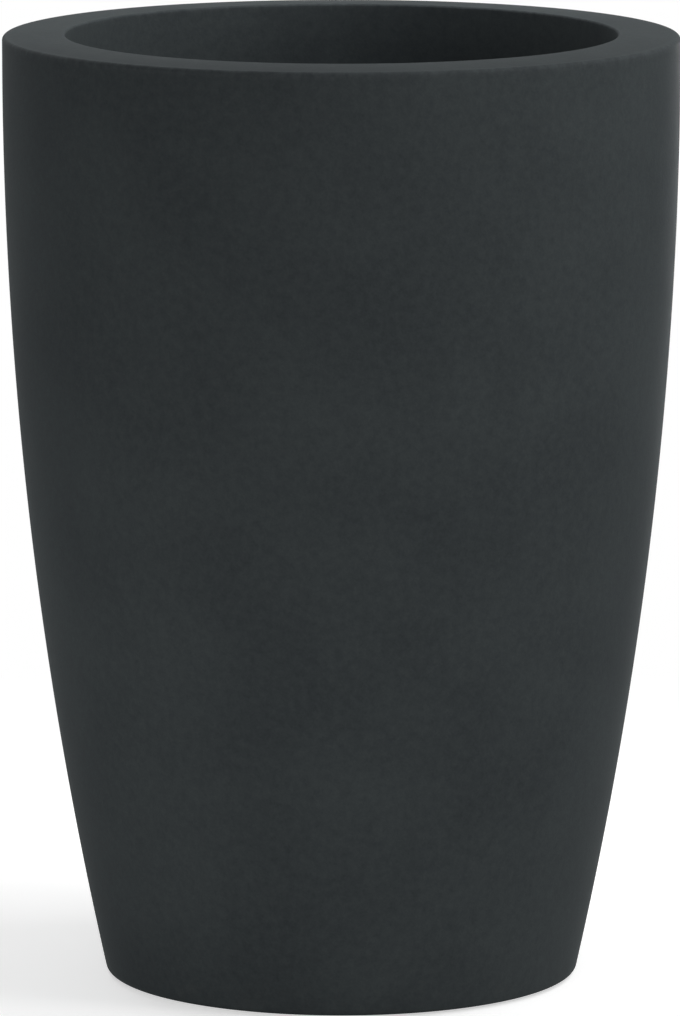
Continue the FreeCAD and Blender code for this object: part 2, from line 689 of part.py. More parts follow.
def fill_lid():
    """Round lid with a locating skirt, a finger tab at the front and the hinge knuckle behind."""
    skirt_bore = "Fit.lid_skirt_radius - Size.lid_skirt_wall"
    corners = [
        ("0", "0"),
        (skirt_bore, "0"),
        (skirt_bore, "-Size.lid_skirt_depth"),
        ("Fit.lid_skirt_radius", "-Size.lid_skirt_depth"),
        ("Fit.lid_skirt_radius", "0"),
        ("Fit.lid_radius", "0"),
        ("Fit.lid_radius", "Size.lid_thick"),
        ("0", "Size.lid_thick"),
    ]
    body = turned("fill_lid", corners, place=("0", "Fit.shaft_y", "Fit.shaft_top_z"))
    round_rings(body, "lid_edge", "Size.lid_round", [("Fit.lid_radius", "Size.lid_thick")])
    half = "Size.lid_tab_half_width"
    front = "-Fit.lid_radius - Size.lid_tab_reach"
    root = "-Fit.lid_skirt_radius"
    tab = new_sketch(body, "lid_tab", "XY_Plane")
    draw_outline(tab, [(f"-{half}", front), (half, front), (half, root), (f"-{half}", root)])
    pad(body, tab, "Size.lid_thick")
    width = "2 * Size.knuckle_half_width"
    web = new_sketch(body, "knuckle_web", "YZ_Plane", "-Size.knuckle_half_width")
    draw_outline(web, [
        ("Fit.lid_skirt_radius", "0"),
        ("Fit.hinge_y", "0"),
        ("Fit.hinge_y", "Size.lid_thick"),
        ("Fit.lid_skirt_radius", "Size.lid_thick"),
    ])
    pad(body, web, width)
    knuckle = new_sketch(body, "knuckle", "YZ_Plane", "-Size.knuckle_half_width")
    draw_circle(knuckle, "Fit.hinge_y", "Fit.hinge_height", "Size.knuckle_radius")
    pad(body, knuckle, width)
    bore = new_sketch(body, "knuckle_bore", "YZ_Plane", "-Size.knuckle_half_width")
    draw_circle(bore, "Fit.hinge_y", "Fit.hinge_height", "Size.hinge_pin_radius + Size.hinge_pin_play")
    pocket(body, bore)
    return body


def lid_hinge_pin():
    """Steel pin through both cheeks and the lid's knuckle."""
    pin = doc.addObject("Part::Cylinder", "lid_hinge_pin")
    pin.setExpression("Radius", "Size.hinge_pin_radius")
    pin.setExpression("Height", "2 * Fit.hinge_pin_half")
    pin.Placement.Rotation = FreeCAD.Rotation(FreeCAD.Vector(0, 0, 1), FreeCAD.Vector(1, 0, 0))
    pin.setExpression("Placement.Base.x", "-Fit.hinge_pin_half")
    pin.setExpression("Placement.Base.y", "Fit.shaft_y + Fit.hinge_y")
    pin.setExpression("Placement.Base.z", "Fit.shaft_top_z + Fit.hinge_height")
    return pin


def gauge_tube():
    """Clear tube with a collar on the separator and a lip at its foot that the float rests on."""
    lip = "Fit.gauge_bore - Size.gauge_lip_width"
    lip_top = "Fit.gauge_foot + Size.gauge_lip_thick"
    collar = "Size.gauge_radius + Size.gauge_collar_width"
    corners = [
        (lip, "Fit.gauge_foot"),
        ("Size.gauge_radius", "Fit.gauge_foot"),
        ("Size.gauge_radius", "0"),
        (collar, "0"),
        (collar, "Size.collar_thick"),
        ("Size.gauge_radius", "Size.collar_thick"),
        ("Size.gauge_radius", "Fit.gauge_top"),
        ("Fit.gauge_bore", "Fit.gauge_top"),
        ("Fit.gauge_bore", lip_top),
        (lip, lip_top),
    ]
    return turned("gauge_tube", corners, place=("Fit.gauge_x", "Fit.shaft_y", "Fit.separator_top_z"))


def gauge_cap():
    """Cap that plugs into the top of the tube."""
    brim = "Size.gauge_radius + Size.gauge_cap_overhang"
    plug = "Fit.gauge_bore - Size.gauge_cap_fit"
    corners = [
        ("0", "-Size.gauge_cap_skirt"),
        (plug, "-Size.gauge_cap_skirt"),
        (plug, "0"),
        (brim, "0"),
        (brim, "Size.gauge_cap_thick"),
        ("0", "Size.gauge_cap_thick"),
    ]
    body = turned("gauge_cap", corners, place=("Fit.gauge_x", "Fit.shaft_y", "Fit.gauge_top_z"))
    round_rings(body, "gauge_cap_edge", "Size.gauge_cap_round", [(brim, "Size.gauge_cap_thick")])
    return body


def gauge_clip():
    """Two rings on a bar that tie the gauge tube to the filling pipe."""
    body = new_body("gauge_clip", ("0", "Fit.shaft_y", "Fit.clip_z"))
    half = "Size.clip_bar_width / 2"
    bar = new_sketch(body, "clip_bar", "XY_Plane")
    draw_outline(bar, [("0", f"-{half}"), ("Fit.gauge_x", f"-{half}"), ("Fit.gauge_x", half), ("0", half)])
    pad(body, bar, "Size.clip_height")
    holders = [("shaft_ring", "0", "Size.shaft_radius"), ("tube_ring", "Fit.gauge_x", "Size.gauge_radius")]
    for label, across, radius in holders:
        ring = new_sketch(body, label, "XY_Plane")
        draw_circle(ring, across, "0", f"{radius} + Size.clip_fit + Size.clip_wall")
        pad(body, ring, "Size.clip_height")
    for label, across, radius in holders:
        round_hole(body, f"{label}_bore", across, "0", f"{radius} + Size.clip_fit")
    return body


def gauge_float():
    """Float with a rounded top that rides inside the tube."""
    radius = "Fit.gauge_bore - Size.float_play"
    corners = [("0", "0"), (radius, "0"), (radius, "Size.float_height"), ("0", "Size.float_height")]
    body = turned("gauge_float", corners, place=("Fit.gauge_x", "Fit.shaft_y", "Fit.gauge_seat_z"))
    round_rings(body, "float_edge", "Size.float_round", [(radius, "Size.float_height")])
    return body


def gauge_rod():
    """Thin rod from the float up to the flag."""
    rod = doc.addObject("Part::Cylinder", "gauge_rod")
    rod.setExpression("Radius", "Size.rod_radius")
    rod.setExpression("Height", "Fit.flag_z - Fit.rod_z")
    rod.setExpression("Placement.Base.x", "Fit.gauge_x")
    rod.setExpression("Placement.Base.y", "Fit.shaft_y")
    rod.setExpression("Placement.Base.z", "Fit.rod_z")
    return rod


def level_flag():
    """Coloured flag on the rod, seen through the tube above the soil."""
    ends = [("Size.flag_radius", "0"), ("Size.flag_radius", "Size.flag_height")]
    corners = [("0", "0"), *ends, ("0", "Size.flag_height")]
    body = turned("level_flag", corners, place=("Fit.gauge_x", "Fit.shaft_y", "Fit.flag_z"))
    round_rings(body, "flag_edges", "Size.flag_round", ends)
    return body


def overflow_pipe():
    """Open standpipe whose top is the highest water level, with a collar on its grommet."""
    bore = "Size.pipe_radius - Size.pipe_wall"
    collar = "Size.pipe_radius + Size.pipe_collar_width"
    collar_top = "Size.grommet_lip_thick + Size.pipe_collar_thick"
    foot = "-Size.liner_floor - Size.pipe_tail"
    corners = [
        (bore, foot),
        ("Size.pipe_radius", foot),
        ("Size.pipe_radius", "Size.grommet_lip_thick"),
        (collar, "Size.grommet_lip_thick"),
        (collar, collar_top),
        ("Size.pipe_radius", collar_top),
        ("Size.pipe_radius", "Size.overflow_height"),
        (bore, "Size.overflow_height"),
    ]
    return turned("overflow_pipe", corners, place=("0", "0", "Fit.sump_floor_z"))


def pipe_grommet():
    """Rubber ring that grips the liner floor between two lips and seals the standpipe."""
    corners = [
        ("Fit.grommet_bore", "-Size.liner_floor - Size.grommet_lip_thick"),
        ("Fit.grommet_outer", "-Size.liner_floor - Size.grommet_lip_thick"),
        ("Fit.grommet_outer", "-Size.liner_floor"),
        ("Fit.grommet_hole", "-Size.liner_floor"),
        ("Fit.grommet_hole", "0"),
        ("Fit.grommet_outer", "0"),
        ("Fit.grommet_outer", "Size.grommet_lip_thick"),
        ("Fit.grommet_bore", "Size.grommet_lip_thick"),
    ]
    return turned("pipe_grommet", corners, place=("0", "0", "Fit.sump_floor_z"))


def spread(count, first_angle):
    """Numbers and angles of pieces spaced evenly about the pot's axis."""
    numbers = range(int(value(count)))
    return [(number + 1, f"({first_angle} + {number} * 360 / {count})") for number in numbers]


def check(pieces):
    """Stops where a feature failed or a piece has no sound solid."""
    for item in doc.Objects:
        if "Invalid" in item.State or "Error" in item.State:
            raise RuntimeError(f"{item.Label} failed: {item.State}")
    for piece in pieces:
        if piece.Shape.isNull() or not piece.Shape.isValid() or len(piece.Shape.Solids) != 1:
            raise RuntimeError(f"{piece.Label} isn't one sound solid")


doc = FreeCAD.newDocument("planter")
make_sheet("Size", SIZES)
make_sheet("Fit", FITS)
doc.recompute()

pieces = [outer_shell(), base_stopper(), planting_liner(), separator_plate()]
pieces += [floor_pad(number, angle) for number, angle in spread("Size.pad_count", "Size.pad_first_angle")]
pieces += [wick_column(number, angle) for number, angle in spread("Size.wick_count", "Size.wick_first_angle")]
pieces += [carrying_handle("rear_handle", 0), carrying_handle("front_handle", 180)]
pieces += [fill_shaft(), fill_lid(), lid_hinge_pin()]
pieces += [gauge_tube(), gauge_cap(), gauge_clip(), gauge_float(), gauge_rod(), level_flag()]
pieces += [overflow_pipe(), pipe_grommet()]
doc.recompute()
check(pieces)

os.makedirs("parts", exist_ok=True)
for piece in pieces:
    piece.Shape.exportStep(f"parts/{piece.Label}.step")
    print(f"{piece.Label}: {piece.Shape.Volume / 1000:.2f} cm3")
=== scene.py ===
# %% [markdown]
# Tall floor planter
#
# The object is a tall round pot with a wide flat rim. Inside hangs a lift-out liner with a water
# store, a filling pipe, a float gauge and two carrying handles.
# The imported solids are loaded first. They are the frame: they fix every size and every joint, and
# nothing below moves them. The lesson then dresses them, from the large form to the small ones.

# %% Load the frame
import json
import math

import bmesh
import bpy
from mathutils import Matrix, Vector


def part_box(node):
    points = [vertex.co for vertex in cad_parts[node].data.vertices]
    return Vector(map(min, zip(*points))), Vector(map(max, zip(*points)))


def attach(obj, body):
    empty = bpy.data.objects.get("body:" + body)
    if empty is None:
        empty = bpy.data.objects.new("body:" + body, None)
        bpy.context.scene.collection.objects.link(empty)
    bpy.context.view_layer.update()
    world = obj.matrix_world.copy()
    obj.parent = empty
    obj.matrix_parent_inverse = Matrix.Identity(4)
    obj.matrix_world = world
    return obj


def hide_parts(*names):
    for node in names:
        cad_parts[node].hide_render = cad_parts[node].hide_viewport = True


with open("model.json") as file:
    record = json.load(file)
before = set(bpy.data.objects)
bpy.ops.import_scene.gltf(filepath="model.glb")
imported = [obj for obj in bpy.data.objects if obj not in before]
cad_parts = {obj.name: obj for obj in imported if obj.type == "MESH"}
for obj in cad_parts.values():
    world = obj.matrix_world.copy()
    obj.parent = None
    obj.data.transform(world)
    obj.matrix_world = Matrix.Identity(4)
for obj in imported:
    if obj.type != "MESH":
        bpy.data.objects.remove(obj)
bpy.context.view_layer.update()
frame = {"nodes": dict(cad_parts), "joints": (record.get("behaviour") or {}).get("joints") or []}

scene = bpy.context.scene
nodes = frame["nodes"]
joints = {joint["name"]: joint for joint in frame["joints"]}

# %% [markdown]
# Small helpers
#
# Materials and Geometry Nodes are both graphs of nodes. One helper adds a node, sets its own
# options, and fills its sockets: with a number where the value is fixed, or with another node's
# output where the value is passed on. Keeping this in one place leaves the later cells short.

# %% Add a node to a graph
MM = 0.001
QUARTER_TURN = math.pi / 2


def fill(tree, node, sockets):
    """Sets each named input to a plain value, or links it to another node's output."""
    for name, content in sockets.items():
        socket = node.inputs[name]
        if isinstance(content, bpy.types.NodeSocket):
            tree.links.new(content, socket)
        else:
            socket.default_value = content


def add_node(tree, kind, sockets=None, **options):
    """A new node with its options set and its inputs filled."""
    node = tree.nodes.new(kind)
    for name, option in options.items():
        setattr(node, name, option)
    fill(tree, node, sockets or {})
    return node


def result_of(tree, kind, sockets=None, **options):
    """The first output of a new node."""
    return add_node(tree, kind, sockets, **options).outputs[0]


def colour(red, green, blue):
    """A colour given as screen values from 0 to 255, in the linear numbers that shaders work in."""
    steps = [step / 255 for step in (red, green, blue)]
    linear = [step / 12.92 if step <= 0.04045 else ((step + 0.055) / 1.055) ** 2.4 for step in steps]
    return (*linear, 1.0)


print("one millimetre is", MM, "of Blender's units")

# %% [markdown]
# Camera
#
# The pot is seen from far away and a little above, so its sides hardly converge and the rim shows
# as a flat ellipse. A long lens does the same here. The camera is made first, because every later
# choice is judged through it. It aims a touch under the middle of the pot and a touch to the left,
# which is how the pot sits in its frame.

# %% Place the camera
CAMERA_DISTANCE = 5.225
CAMERA_HEIGHT_ANGLE = math.radians(9.245)
AIM_SHIFT = Vector((-0.8 * MM, 0, -2.9 * MM))
FOCAL_PIXELS = 8786
IMAGE_HEIGHT = 1016
SENSOR = 36
FAR_CLIP = 60

shell_low, shell_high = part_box("outer_shell")
pot_middle = Vector((0, 0, (shell_low.z + shell_high.z) / 2))
back_off = Vector((0, -math.cos(CAMERA_HEIGHT_ANGLE), math.sin(CAMERA_HEIGHT_ANGLE)))
aim = pot_middle + AIM_SHIFT

camera_data = bpy.data.cameras.new("camera")
camera_data.lens = FOCAL_PIXELS / IMAGE_HEIGHT * SENSOR
camera_data.sensor_width = SENSOR
camera_data.clip_end = FAR_CLIP
camera = bpy.data.objects.new("camera", camera_data)
camera.location = pot_middle + back_off * CAMERA_DISTANCE
camera.rotation_euler = (aim - camera.location).to_track_quat("-Z", "Y").to_euler()
scene.collection.objects.link(camera)
scene.camera = camera
print("lens", round(camera_data.lens, 1), "mm at", round(CAMERA_DISTANCE, 2), "m")

# %% [markdown]
# A finish for moulded plastic
#
# A moulded wall is never one flat colour. Pigment drifts in clouds as wide as a hand, the mould
# leaves a fine mottle, and the skin has a grain that scatters the light. Painting these into an
# image would tie them to one layout, so three noises of different scale are mixed instead, all
# read from Object coordinates in metres, which keeps each scale true.

# %% Noises, sums, colours and grain
NOISE_ROUGHNESS = 0.55
# Most values of a noise lie in this range.
NOISE_BULK = (0.3, 0.7)
# A Mix node's colour sockets are called what its number sockets are called, so they go by place.
MIX_SHARE, MIX_FIRST, MIX_SECOND, MIX_RESULT = 0, 6, 7, 2


def noise(tree, place, size, detail=2.0):
    """A noise whose features are about as wide as size, in metres."""
    sockets = {"Vector": place, "Scale": 1 / size, "Detail": detail, "Roughness": NOISE_ROUGHNESS}
    return result_of(tree, "ShaderNodeTexNoise", sockets)


def calculate(tree, operation, first, second=0.0):
    """One sum on one or two values."""
    return result_of(tree, "ShaderNodeMath", {0: first, 1: second}, operation=operation)


def mixture(tree, *portions):
    """The sum of some values, each times its own share."""
    total = 0.0
    for value, share in portions:
        total = calculate(tree, "ADD", total, calculate(tree, "MULTIPLY", value, share))
    return total


def rescale(tree, value, before, after, **options):
    """Maps a value from one range to another and holds it at the ends."""
    sockets = {"Value": value, "From Min": before[0], "From Max": before[1],
               "To Min": after[0], "To Max": after[1]}
    return result_of(tree, "ShaderNodeMapRange", sockets, **options)


def blend_colours(tree, share, first, second):
    """The first colour where share is 0 and the second where it is 1."""
    sockets = {MIX_SHARE: share, MIX_FIRST: first, MIX_SECOND: second}
    return add_node(tree, "ShaderNodeMix", sockets, data_type="RGBA").outputs[MIX_RESULT]


def bump(tree, height, depth, under=None):
    """A raised grain of the given depth in metres, laid over another one if there is one."""
    sockets = {"Height": height, "Distance": depth, "Strength": 1.0}
    if under is not None:
        sockets["Normal"] = under
    return result_of(tree, "ShaderNodeBump", sockets)


def flattened(tree, place):
    """The place of each point with its height taken out."""
    return result_of(tree, "ShaderNodeVectorMath", {0: place, 1: (1, 1, 0)}, operation="MULTIPLY")


def length(tree, vector):
    """How long a vector is."""
    return add_node(tree, "ShaderNodeVectorMath", {0: vector}, operation="LENGTH").outputs["Value"]


def split(tree, vector):
    """The X, Y and Z of a vector."""
    return add_node(tree, "ShaderNodeSeparateXYZ", {"Vector": vector}).outputs


def start_material(name):
    """An empty material, its graph, its main shader and the place of each point in metres."""
    material = bpy.data.materials.new(name)
    material.use_nodes = True
    tree = material.node_tree
    place = add_node(tree, "ShaderNodeTexCoord").outputs["Object"]
    return material, tree, tree.nodes["Principled BSDF"], place


print("helpers for noise, sums, colours and grain are ready")

# %% [markdown]
# The shell's finish
#
# The pot's skin is matt anthracite: dark grey with a breath of green and blue, dull, and finely
# mottled. Hands and watering cans rub the edges of the rim paler, and the foot picks up dust and
# scuffs. The distance from each rim edge and the height above the floor make the masks for that
# wear, and a noise breaks them up so that they don't look drawn.

# %% Make the shell's material
RIM_WIDTH = 37 * MM
RIM_RADIUS = shell_high.x
THROAT_RADIUS = RIM_RADIUS - RIM_WIDTH
RIM_Z = shell_high.z
FOOT_Z = shell_low.z
EDGE_INSET = 1 * MM
SCUFF_HEIGHT = 22 * MM
SKIN_DARK = colour(48, 52, 54)
SKIN_LIGHT = colour(60, 65, 66)
SKIN_RUBBED = colour(76, 80, 82)
SKIN_DUSTY = colour(82, 83, 81)


def near_ring(tree, radius_here, height_here, radius, height, reach):
    """1 on a ring of the given radius and height, fading to 0 at reach."""
    across = calculate(tree, "SUBTRACT", radius_here, radius)
    along = calculate(tree, "SUBTRACT", height_here, height)
    squares = calculate(tree, "ADD", calculate(tree, "MULTIPLY", across, across),
                        calculate(tree, "MULTIPLY", along, along))
    return rescale(tree, calculate(tree, "POWER", squares, 0.5), (0, reach), (1, 0))


def make_shell_plastic():
    """Matt anthracite with clouds, mottle, grain, rubbed rim edges and a scuffed foot."""
    material, tree, shader, place = start_material("anthracite_skin")
    clouds = noise(tree, place, size=85 * MM)
    mottle = noise(tree, place, size=5 * MM, detail=3)
    grain = noise(tree, place, size=1.4 * MM)
    radius = length(tree, flattened(tree, place))
    height = split(tree, place)["Z"]

    mixed = mixture(tree, (clouds, 0.35), (mottle, 0.4), (grain, 0.25))
    share = rescale(tree, mixed, (0.33, 0.67), (0, 1))
    skin = blend_colours(tree, share, SKIN_DARK, SKIN_LIGHT)

    outer_edge = near_ring(tree, radius, height, RIM_RADIUS - EDGE_INSET, RIM_Z - EDGE_INSET, reach=5 * MM)
    inner_edge = near_ring(tree, radius, height, THROAT_RADIUS, RIM_Z, reach=3 * MM)
    patches = rescale(tree, mottle, (0.4, 0.7), (0.1, 0.5))
    rubbed = calculate(tree, "MULTIPLY", calculate(tree, "MAXIMUM", outer_edge, inner_edge), patches)
    skin = blend_colours(tree, rubbed, skin, SKIN_RUBBED)

    low_down = rescale(tree, height, (FOOT_Z, FOOT_Z + SCUFF_HEIGHT), (1, 0))
    streaks = rescale(tree, noise(tree, place, size=16 * MM, detail=5), (0.52, 0.72), (0, 0.15))
    skin = blend_colours(tree, calculate(tree, "MULTIPLY", low_down, streaks), skin, SKIN_DUSTY)

    peel = bump(tree, mottle, depth=0.10 * MM)
    fill(tree, shader, {
        "Base Color": skin,
        "Roughness": rescale(tree, mottle, NOISE_BULK, (0.68, 0.80)),
        "Specular IOR Level": 0.03,
        "Normal": bump(tree, grain, depth=0.05 * MM, under=peel)})
    return material


shell_plastic = make_shell_plastic()
print("made", shell_plastic.name, "with", len(shell_plastic.node_tree.nodes), "nodes")

# %% [markdown]
# The shell's outline
#
# The pot is a turned form: one outline, carried once round the axis. The outline runs from the foot
# up a long shallow arc, which meets the upright band without a kink because the arc's centre lies
# level with the foot of the band. It goes over the rim, down the throat to the ledge that carries
# the liner, and back along the inside of the wall. The rim falls outward by about two degrees, which
# shows as a near side that looks wider than the far side. Straight runs and arcs from formulas give
# the outline clean edges, where a traced line would wobble.

# %% Draw the outline
BAND_HEIGHT = 18 * MM
BASE_RADIUS = 140.3 * MM
BASE_ROUND = 4 * MM
WALL = 4.5 * MM
THROAT_DEPTH = 58 * MM
LEDGE_WIDTH = 11 * MM
FOOT_RING_WIDTH = 38 * MM
KICK_RUN = 10 * MM
KICK_HEIGHT = 12 * MM
DRAIN_RADIUS = 12 * MM
RIM_FALL = 1.2 * MM
RIM_OUTER_ROUND = 2.5 * MM
RIM_INNER_ROUND = 1.5 * MM

BAND_FOOT = RIM_Z - BAND_HEIGHT
LEDGE_Z = RIM_Z - THROAT_DEPTH
FOOT_RADIUS = BASE_RADIUS - FOOT_RING_WIDTH
PLATEAU_RADIUS = FOOT_RADIUS - KICK_RUN
PLATEAU_Z = FOOT_Z + KICK_HEIGHT
WALL_RISE = BAND_FOOT - FOOT_Z
WALL_LEAN = RIM_RADIUS - BASE_RADIUS
WALL_SWEEP = (WALL_RISE ** 2 + WALL_LEAN ** 2) / (2 * WALL_LEAN)
WALL_CENTRE = (RIM_RADIUS - WALL_SWEEP, BAND_FOOT)


def arc(centre, radius, start, stop, steps):
    """Points on an arc, as radius and height, from one angle to another."""
    angles = [start + (stop - start) * step / steps for step in range(steps + 1)]
    return [(centre[0] + radius * math.cos(angle), centre[1] + radius * math.sin(angle)) for angle in angles]


def outer_side():
    """From the drain hole along the underside, round the edge of the foot and up the wall."""
    round_z = FOOT_Z + BASE_ROUND
    round_reach = math.sqrt((WALL_SWEEP - BASE_ROUND) ** 2 - (BAND_FOOT - round_z) ** 2)
    round_radius = WALL_CENTRE[0] + round_reach
    wall_start = math.atan2(round_z - BAND_FOOT, round_reach)
    points = [(DRAIN_RADIUS, PLATEAU_Z), (PLATEAU_RADIUS, PLATEAU_Z), (FOOT_RADIUS, FOOT_Z)]
    points += arc((round_radius, round_z), BASE_ROUND, -QUARTER_TURN, wall_start, steps=8)
    return points + arc(WALL_CENTRE, WALL_SWEEP, wall_start, 0, steps=72)[1:]


def rim_and_throat():
    """Over the falling rim, whose two edges are rounded, and down the throat to the ledge."""
    slope = math.atan(RIM_FALL / RIM_WIDTH)
    inner = (THROAT_RADIUS + RIM_INNER_ROUND, RIM_Z - RIM_INNER_ROUND)
    outer_radius = RIM_RADIUS - RIM_OUTER_ROUND
    growth = RIM_OUTER_ROUND - RIM_INNER_ROUND
    run = outer_radius - inner[0] + growth * math.sin(slope)
    outer = (outer_radius, inner[1] - growth * math.cos(slope) - run * math.tan(slope))
    points = arc(outer, RIM_OUTER_ROUND, 0, QUARTER_TURN - slope, steps=10)
    points += arc(inner, RIM_INNER_ROUND, QUARTER_TURN - slope, 2 * QUARTER_TURN, steps=8)
    return points + [(THROAT_RADIUS, LEDGE_Z), (THROAT_RADIUS - LEDGE_WIDTH, LEDGE_Z)]


def inner_side():
    """Back under the ledge and the rim, down inside the wall and over the floor to the drain hole."""
    inner_sweep = WALL_SWEEP - WALL
    floor_start = -math.asin((WALL_RISE - WALL) / inner_sweep)
    kick_shift = WALL * (math.hypot(KICK_RUN, KICK_HEIGHT) - KICK_RUN) / KICK_HEIGHT
    points = [
        (THROAT_RADIUS - LEDGE_WIDTH, LEDGE_Z - WALL),
        (THROAT_RADIUS + WALL, LEDGE_Z - WALL),
        (THROAT_RADIUS + WALL, RIM_Z - WALL),
        (RIM_RADIUS - WALL, RIM_Z - RIM_FALL - WALL),
    ]
    points += arc(WALL_CENTRE, inner_sweep, 0, floor_start, steps=48)
    return points + [
        (FOOT_RADIUS + kick_shift, FOOT_Z + WALL),
        (PLATEAU_RADIUS + kick_shift, PLATEAU_Z + WALL),
        (DRAIN_RADIUS, PLATEAU_Z + WALL),
    ]


def line_mesh(name, points, radius, closed=False):
    """A line of edges through points given as radius and height, measured across from a radius.

    The frame that a circular path gives its profile has its second axis down, so heights change
    sign here, and the line is reversed so that the turned faces still look outward."""
    mesh = bpy.data.meshes.new(name)
    corners = [(across - radius, -height, 0) for across, height in reversed(points)]
    sides = [(number, number + 1) for number in range(len(corners) - 1)]
    if closed:
        sides.append((len(corners) - 1, 0))
    mesh.from_pydata(corners, sides, [])
    return mesh


shell_outline = outer_side() + rim_and_throat() + inner_side()
shell_loop = line_mesh("shell_outline", shell_outline, RIM_RADIUS, closed=True)
print("the outline has", len(shell_loop.vertices), "points")

# %% [markdown]
# Growing pieces with Geometry Nodes
#
# A form that follows a rule is best kept as the rule: a node tree with named sizes, run once on a
# start mesh and kept as a plain mesh. Turning a line round the axis is used for the shell, the wicks
# and the ends of the handles, so it is a helper too. Every tree ends alike: instances are made real,
# edges sharper than 30 degrees stay crisp, all others are shaded smooth, and the material is set.

# %% Helpers for node trees
CRISP_ANGLE = math.radians(30)


def start_tree(name, sizes):
    """A tree with a geometry input, named inputs for sizes and material, and its two end nodes."""
    tree = bpy.data.node_groups.new(name, "GeometryNodeTree")
    face = tree.interface
    face.new_socket("Geometry", in_out="INPUT", socket_type="NodeSocketGeometry")
    for label, kind in sizes.items():
        face.new_socket(label, in_out="INPUT", socket_type=f"NodeSocket{kind}")
    face.new_socket("Material", in_out="INPUT", socket_type="NodeSocketMaterial")
    face.new_socket("Geometry", in_out="OUTPUT", socket_type="NodeSocketGeometry")
    given = add_node(tree, "NodeGroupInput").outputs
    result = add_node(tree, "NodeGroupOutput")
    return tree, given, result


def end_tree(tree, given, result, geometry):
    """Makes instances real, shades all but the crisp edges smooth, and sets the material."""
    real = result_of(tree, "GeometryNodeRealizeInstances", {"Geometry": geometry})
    angle = add_node(tree, "GeometryNodeInputMeshEdgeAngle").outputs["Unsigned Angle"]
    soft = result_of(tree, "FunctionNodeCompare", {0: angle, 1: CRISP_ANGLE}, operation="LESS_THAN")
    faces = result_of(tree, "GeometryNodeSetShadeSmooth", {"Geometry": real}, domain="FACE")
    edges = result_of(tree, "GeometryNodeSetShadeSmooth", {"Geometry": faces, "Shade Smooth": soft},
                      domain="EDGE")
    painted = result_of(tree, "GeometryNodeSetMaterial", {"Geometry": edges, "Material": given["Material"]})
    tree.links.new(painted, result.inputs["Geometry"])


def grow(name, tree, start_mesh, values):
    """Runs a tree on a mesh and keeps the result as one plain mesh object at the origin."""
    piece = bpy.data.objects.new(name, start_mesh)
    scene.collection.objects.link(piece)
    modifier = piece.modifiers.new("grow", "NODES")
    modifier.node_group = tree
    for socket in tree.interface.items_tree:
        if socket.in_out == "INPUT" and socket.name in values:
            modifier[socket.identifier] = values[socket.name]
    bpy.context.view_layer.update()
    grown = piece.evaluated_get(bpy.context.evaluated_depsgraph_get())
    mesh = bpy.data.meshes.new_from_object(grown)
    piece.modifiers.remove(modifier)
    piece.data = mesh
    bpy.data.meshes.remove(start_mesh)
    mesh.name = name
    size = [round(side / MM, 1) for side in piece.dimensions]
    print(name, "has", len(mesh.polygons), "faces and is", size, "mm")
    return piece


def turned(tree, line, radius, segments):
    """Carries a line of edges, which is measured from a circle, once round that circle."""
    section = result_of(tree, "GeometryNodeMeshToCurve", {"Mesh": line})
    path = result_of(tree, "GeometryNodeCurvePrimitiveCircle", {"Resolution": segments, "Radius": radius})
    return result_of(tree, "GeometryNodeCurveToMesh", {"Curve": path, "Profile Curve": section})


def welded(tree, geometry, gap):
    """Joins points that lie closer than the gap, such as those of a pole."""
    return result_of(tree, "GeometryNodeMergeByDistance", {"Geometry": geometry, "Distance": gap})


def moved(tree, geometry, shift, turn=(0, 0, 0)):
    """The geometry, turned and then moved."""
    sockets = {"Geometry": geometry, "Translation": shift, "Rotation": turn}
    return result_of(tree, "GeometryNodeTransform", sockets)


def vector(tree, **parts):
    """A vector from any of its X, Y and Z."""
    return result_of(tree, "ShaderNodeCombineXYZ", parts)


print("helpers for node trees are ready")

# %% [markdown]
# Turning the shell
#
# A lathe is a rule: a circle as wide as the rim is the path, and the outline, measured from that
# circle, is carried along it. The screw modifier would also turn it, but the node tree can go on
# and sink the four seats of the rubber pads into the foot with one boolean. A weld then takes up
# the slivers that the cut leaves.

# %% Turn the shell
SHELL_SEGMENTS = 256
SEAT_SEGMENTS = 48
PAD_SEAT_RADIUS = 8.2 * MM
PAD_SINK = 1.5 * MM
PAD_COUNT = 4
PAD_CIRCLE = BASE_RADIUS - FOOT_RING_WIDTH / 2
PAD_FIRST_ANGLE = math.radians(45)
CUT_WELD = 0.005 * MM


def lathe_with_seats():
    """The tree that turns an outline round the axis and sinks round seats into the foot."""
    sizes = {"Rim radius": "Float", "Segments": "Int", "Seat radius": "Float", "Seat depth": "Float",
             "Seat circle": "Float", "Seat count": "Int", "Seat angle": "Float", "Foot height": "Float"}
    tree, given, result = start_tree("lathe_with_seats", sizes)
    wall = turned(tree, given["Geometry"], given["Rim radius"], given["Segments"])

    depth = calculate(tree, "MULTIPLY", given["Seat depth"], 2)
    cutter = result_of(tree, "GeometryNodeMeshCylinder",
                       {"Vertices": SEAT_SEGMENTS, "Radius": given["Seat radius"], "Depth": depth})
    ring = result_of(tree, "GeometryNodeMeshCircle",
                     {"Vertices": given["Seat count"], "Radius": given["Seat circle"]})
    spots = moved(tree, ring, vector(tree, Z=given["Foot height"]), vector(tree, Z=given["Seat angle"]))
    cutters = result_of(tree, "GeometryNodeInstanceOnPoints", {"Points": spots, "Instance": cutter})
    seats = result_of(tree, "GeometryNodeRealizeInstances", {"Geometry": cutters})
    cut = result_of(tree, "GeometryNodeMeshBoolean", {"Mesh 1": wall, "Mesh 2": seats},
                    operation="DIFFERENCE", solver="EXACT")
    end_tree(tree, given, result, welded(tree, cut, CUT_WELD))
    return tree


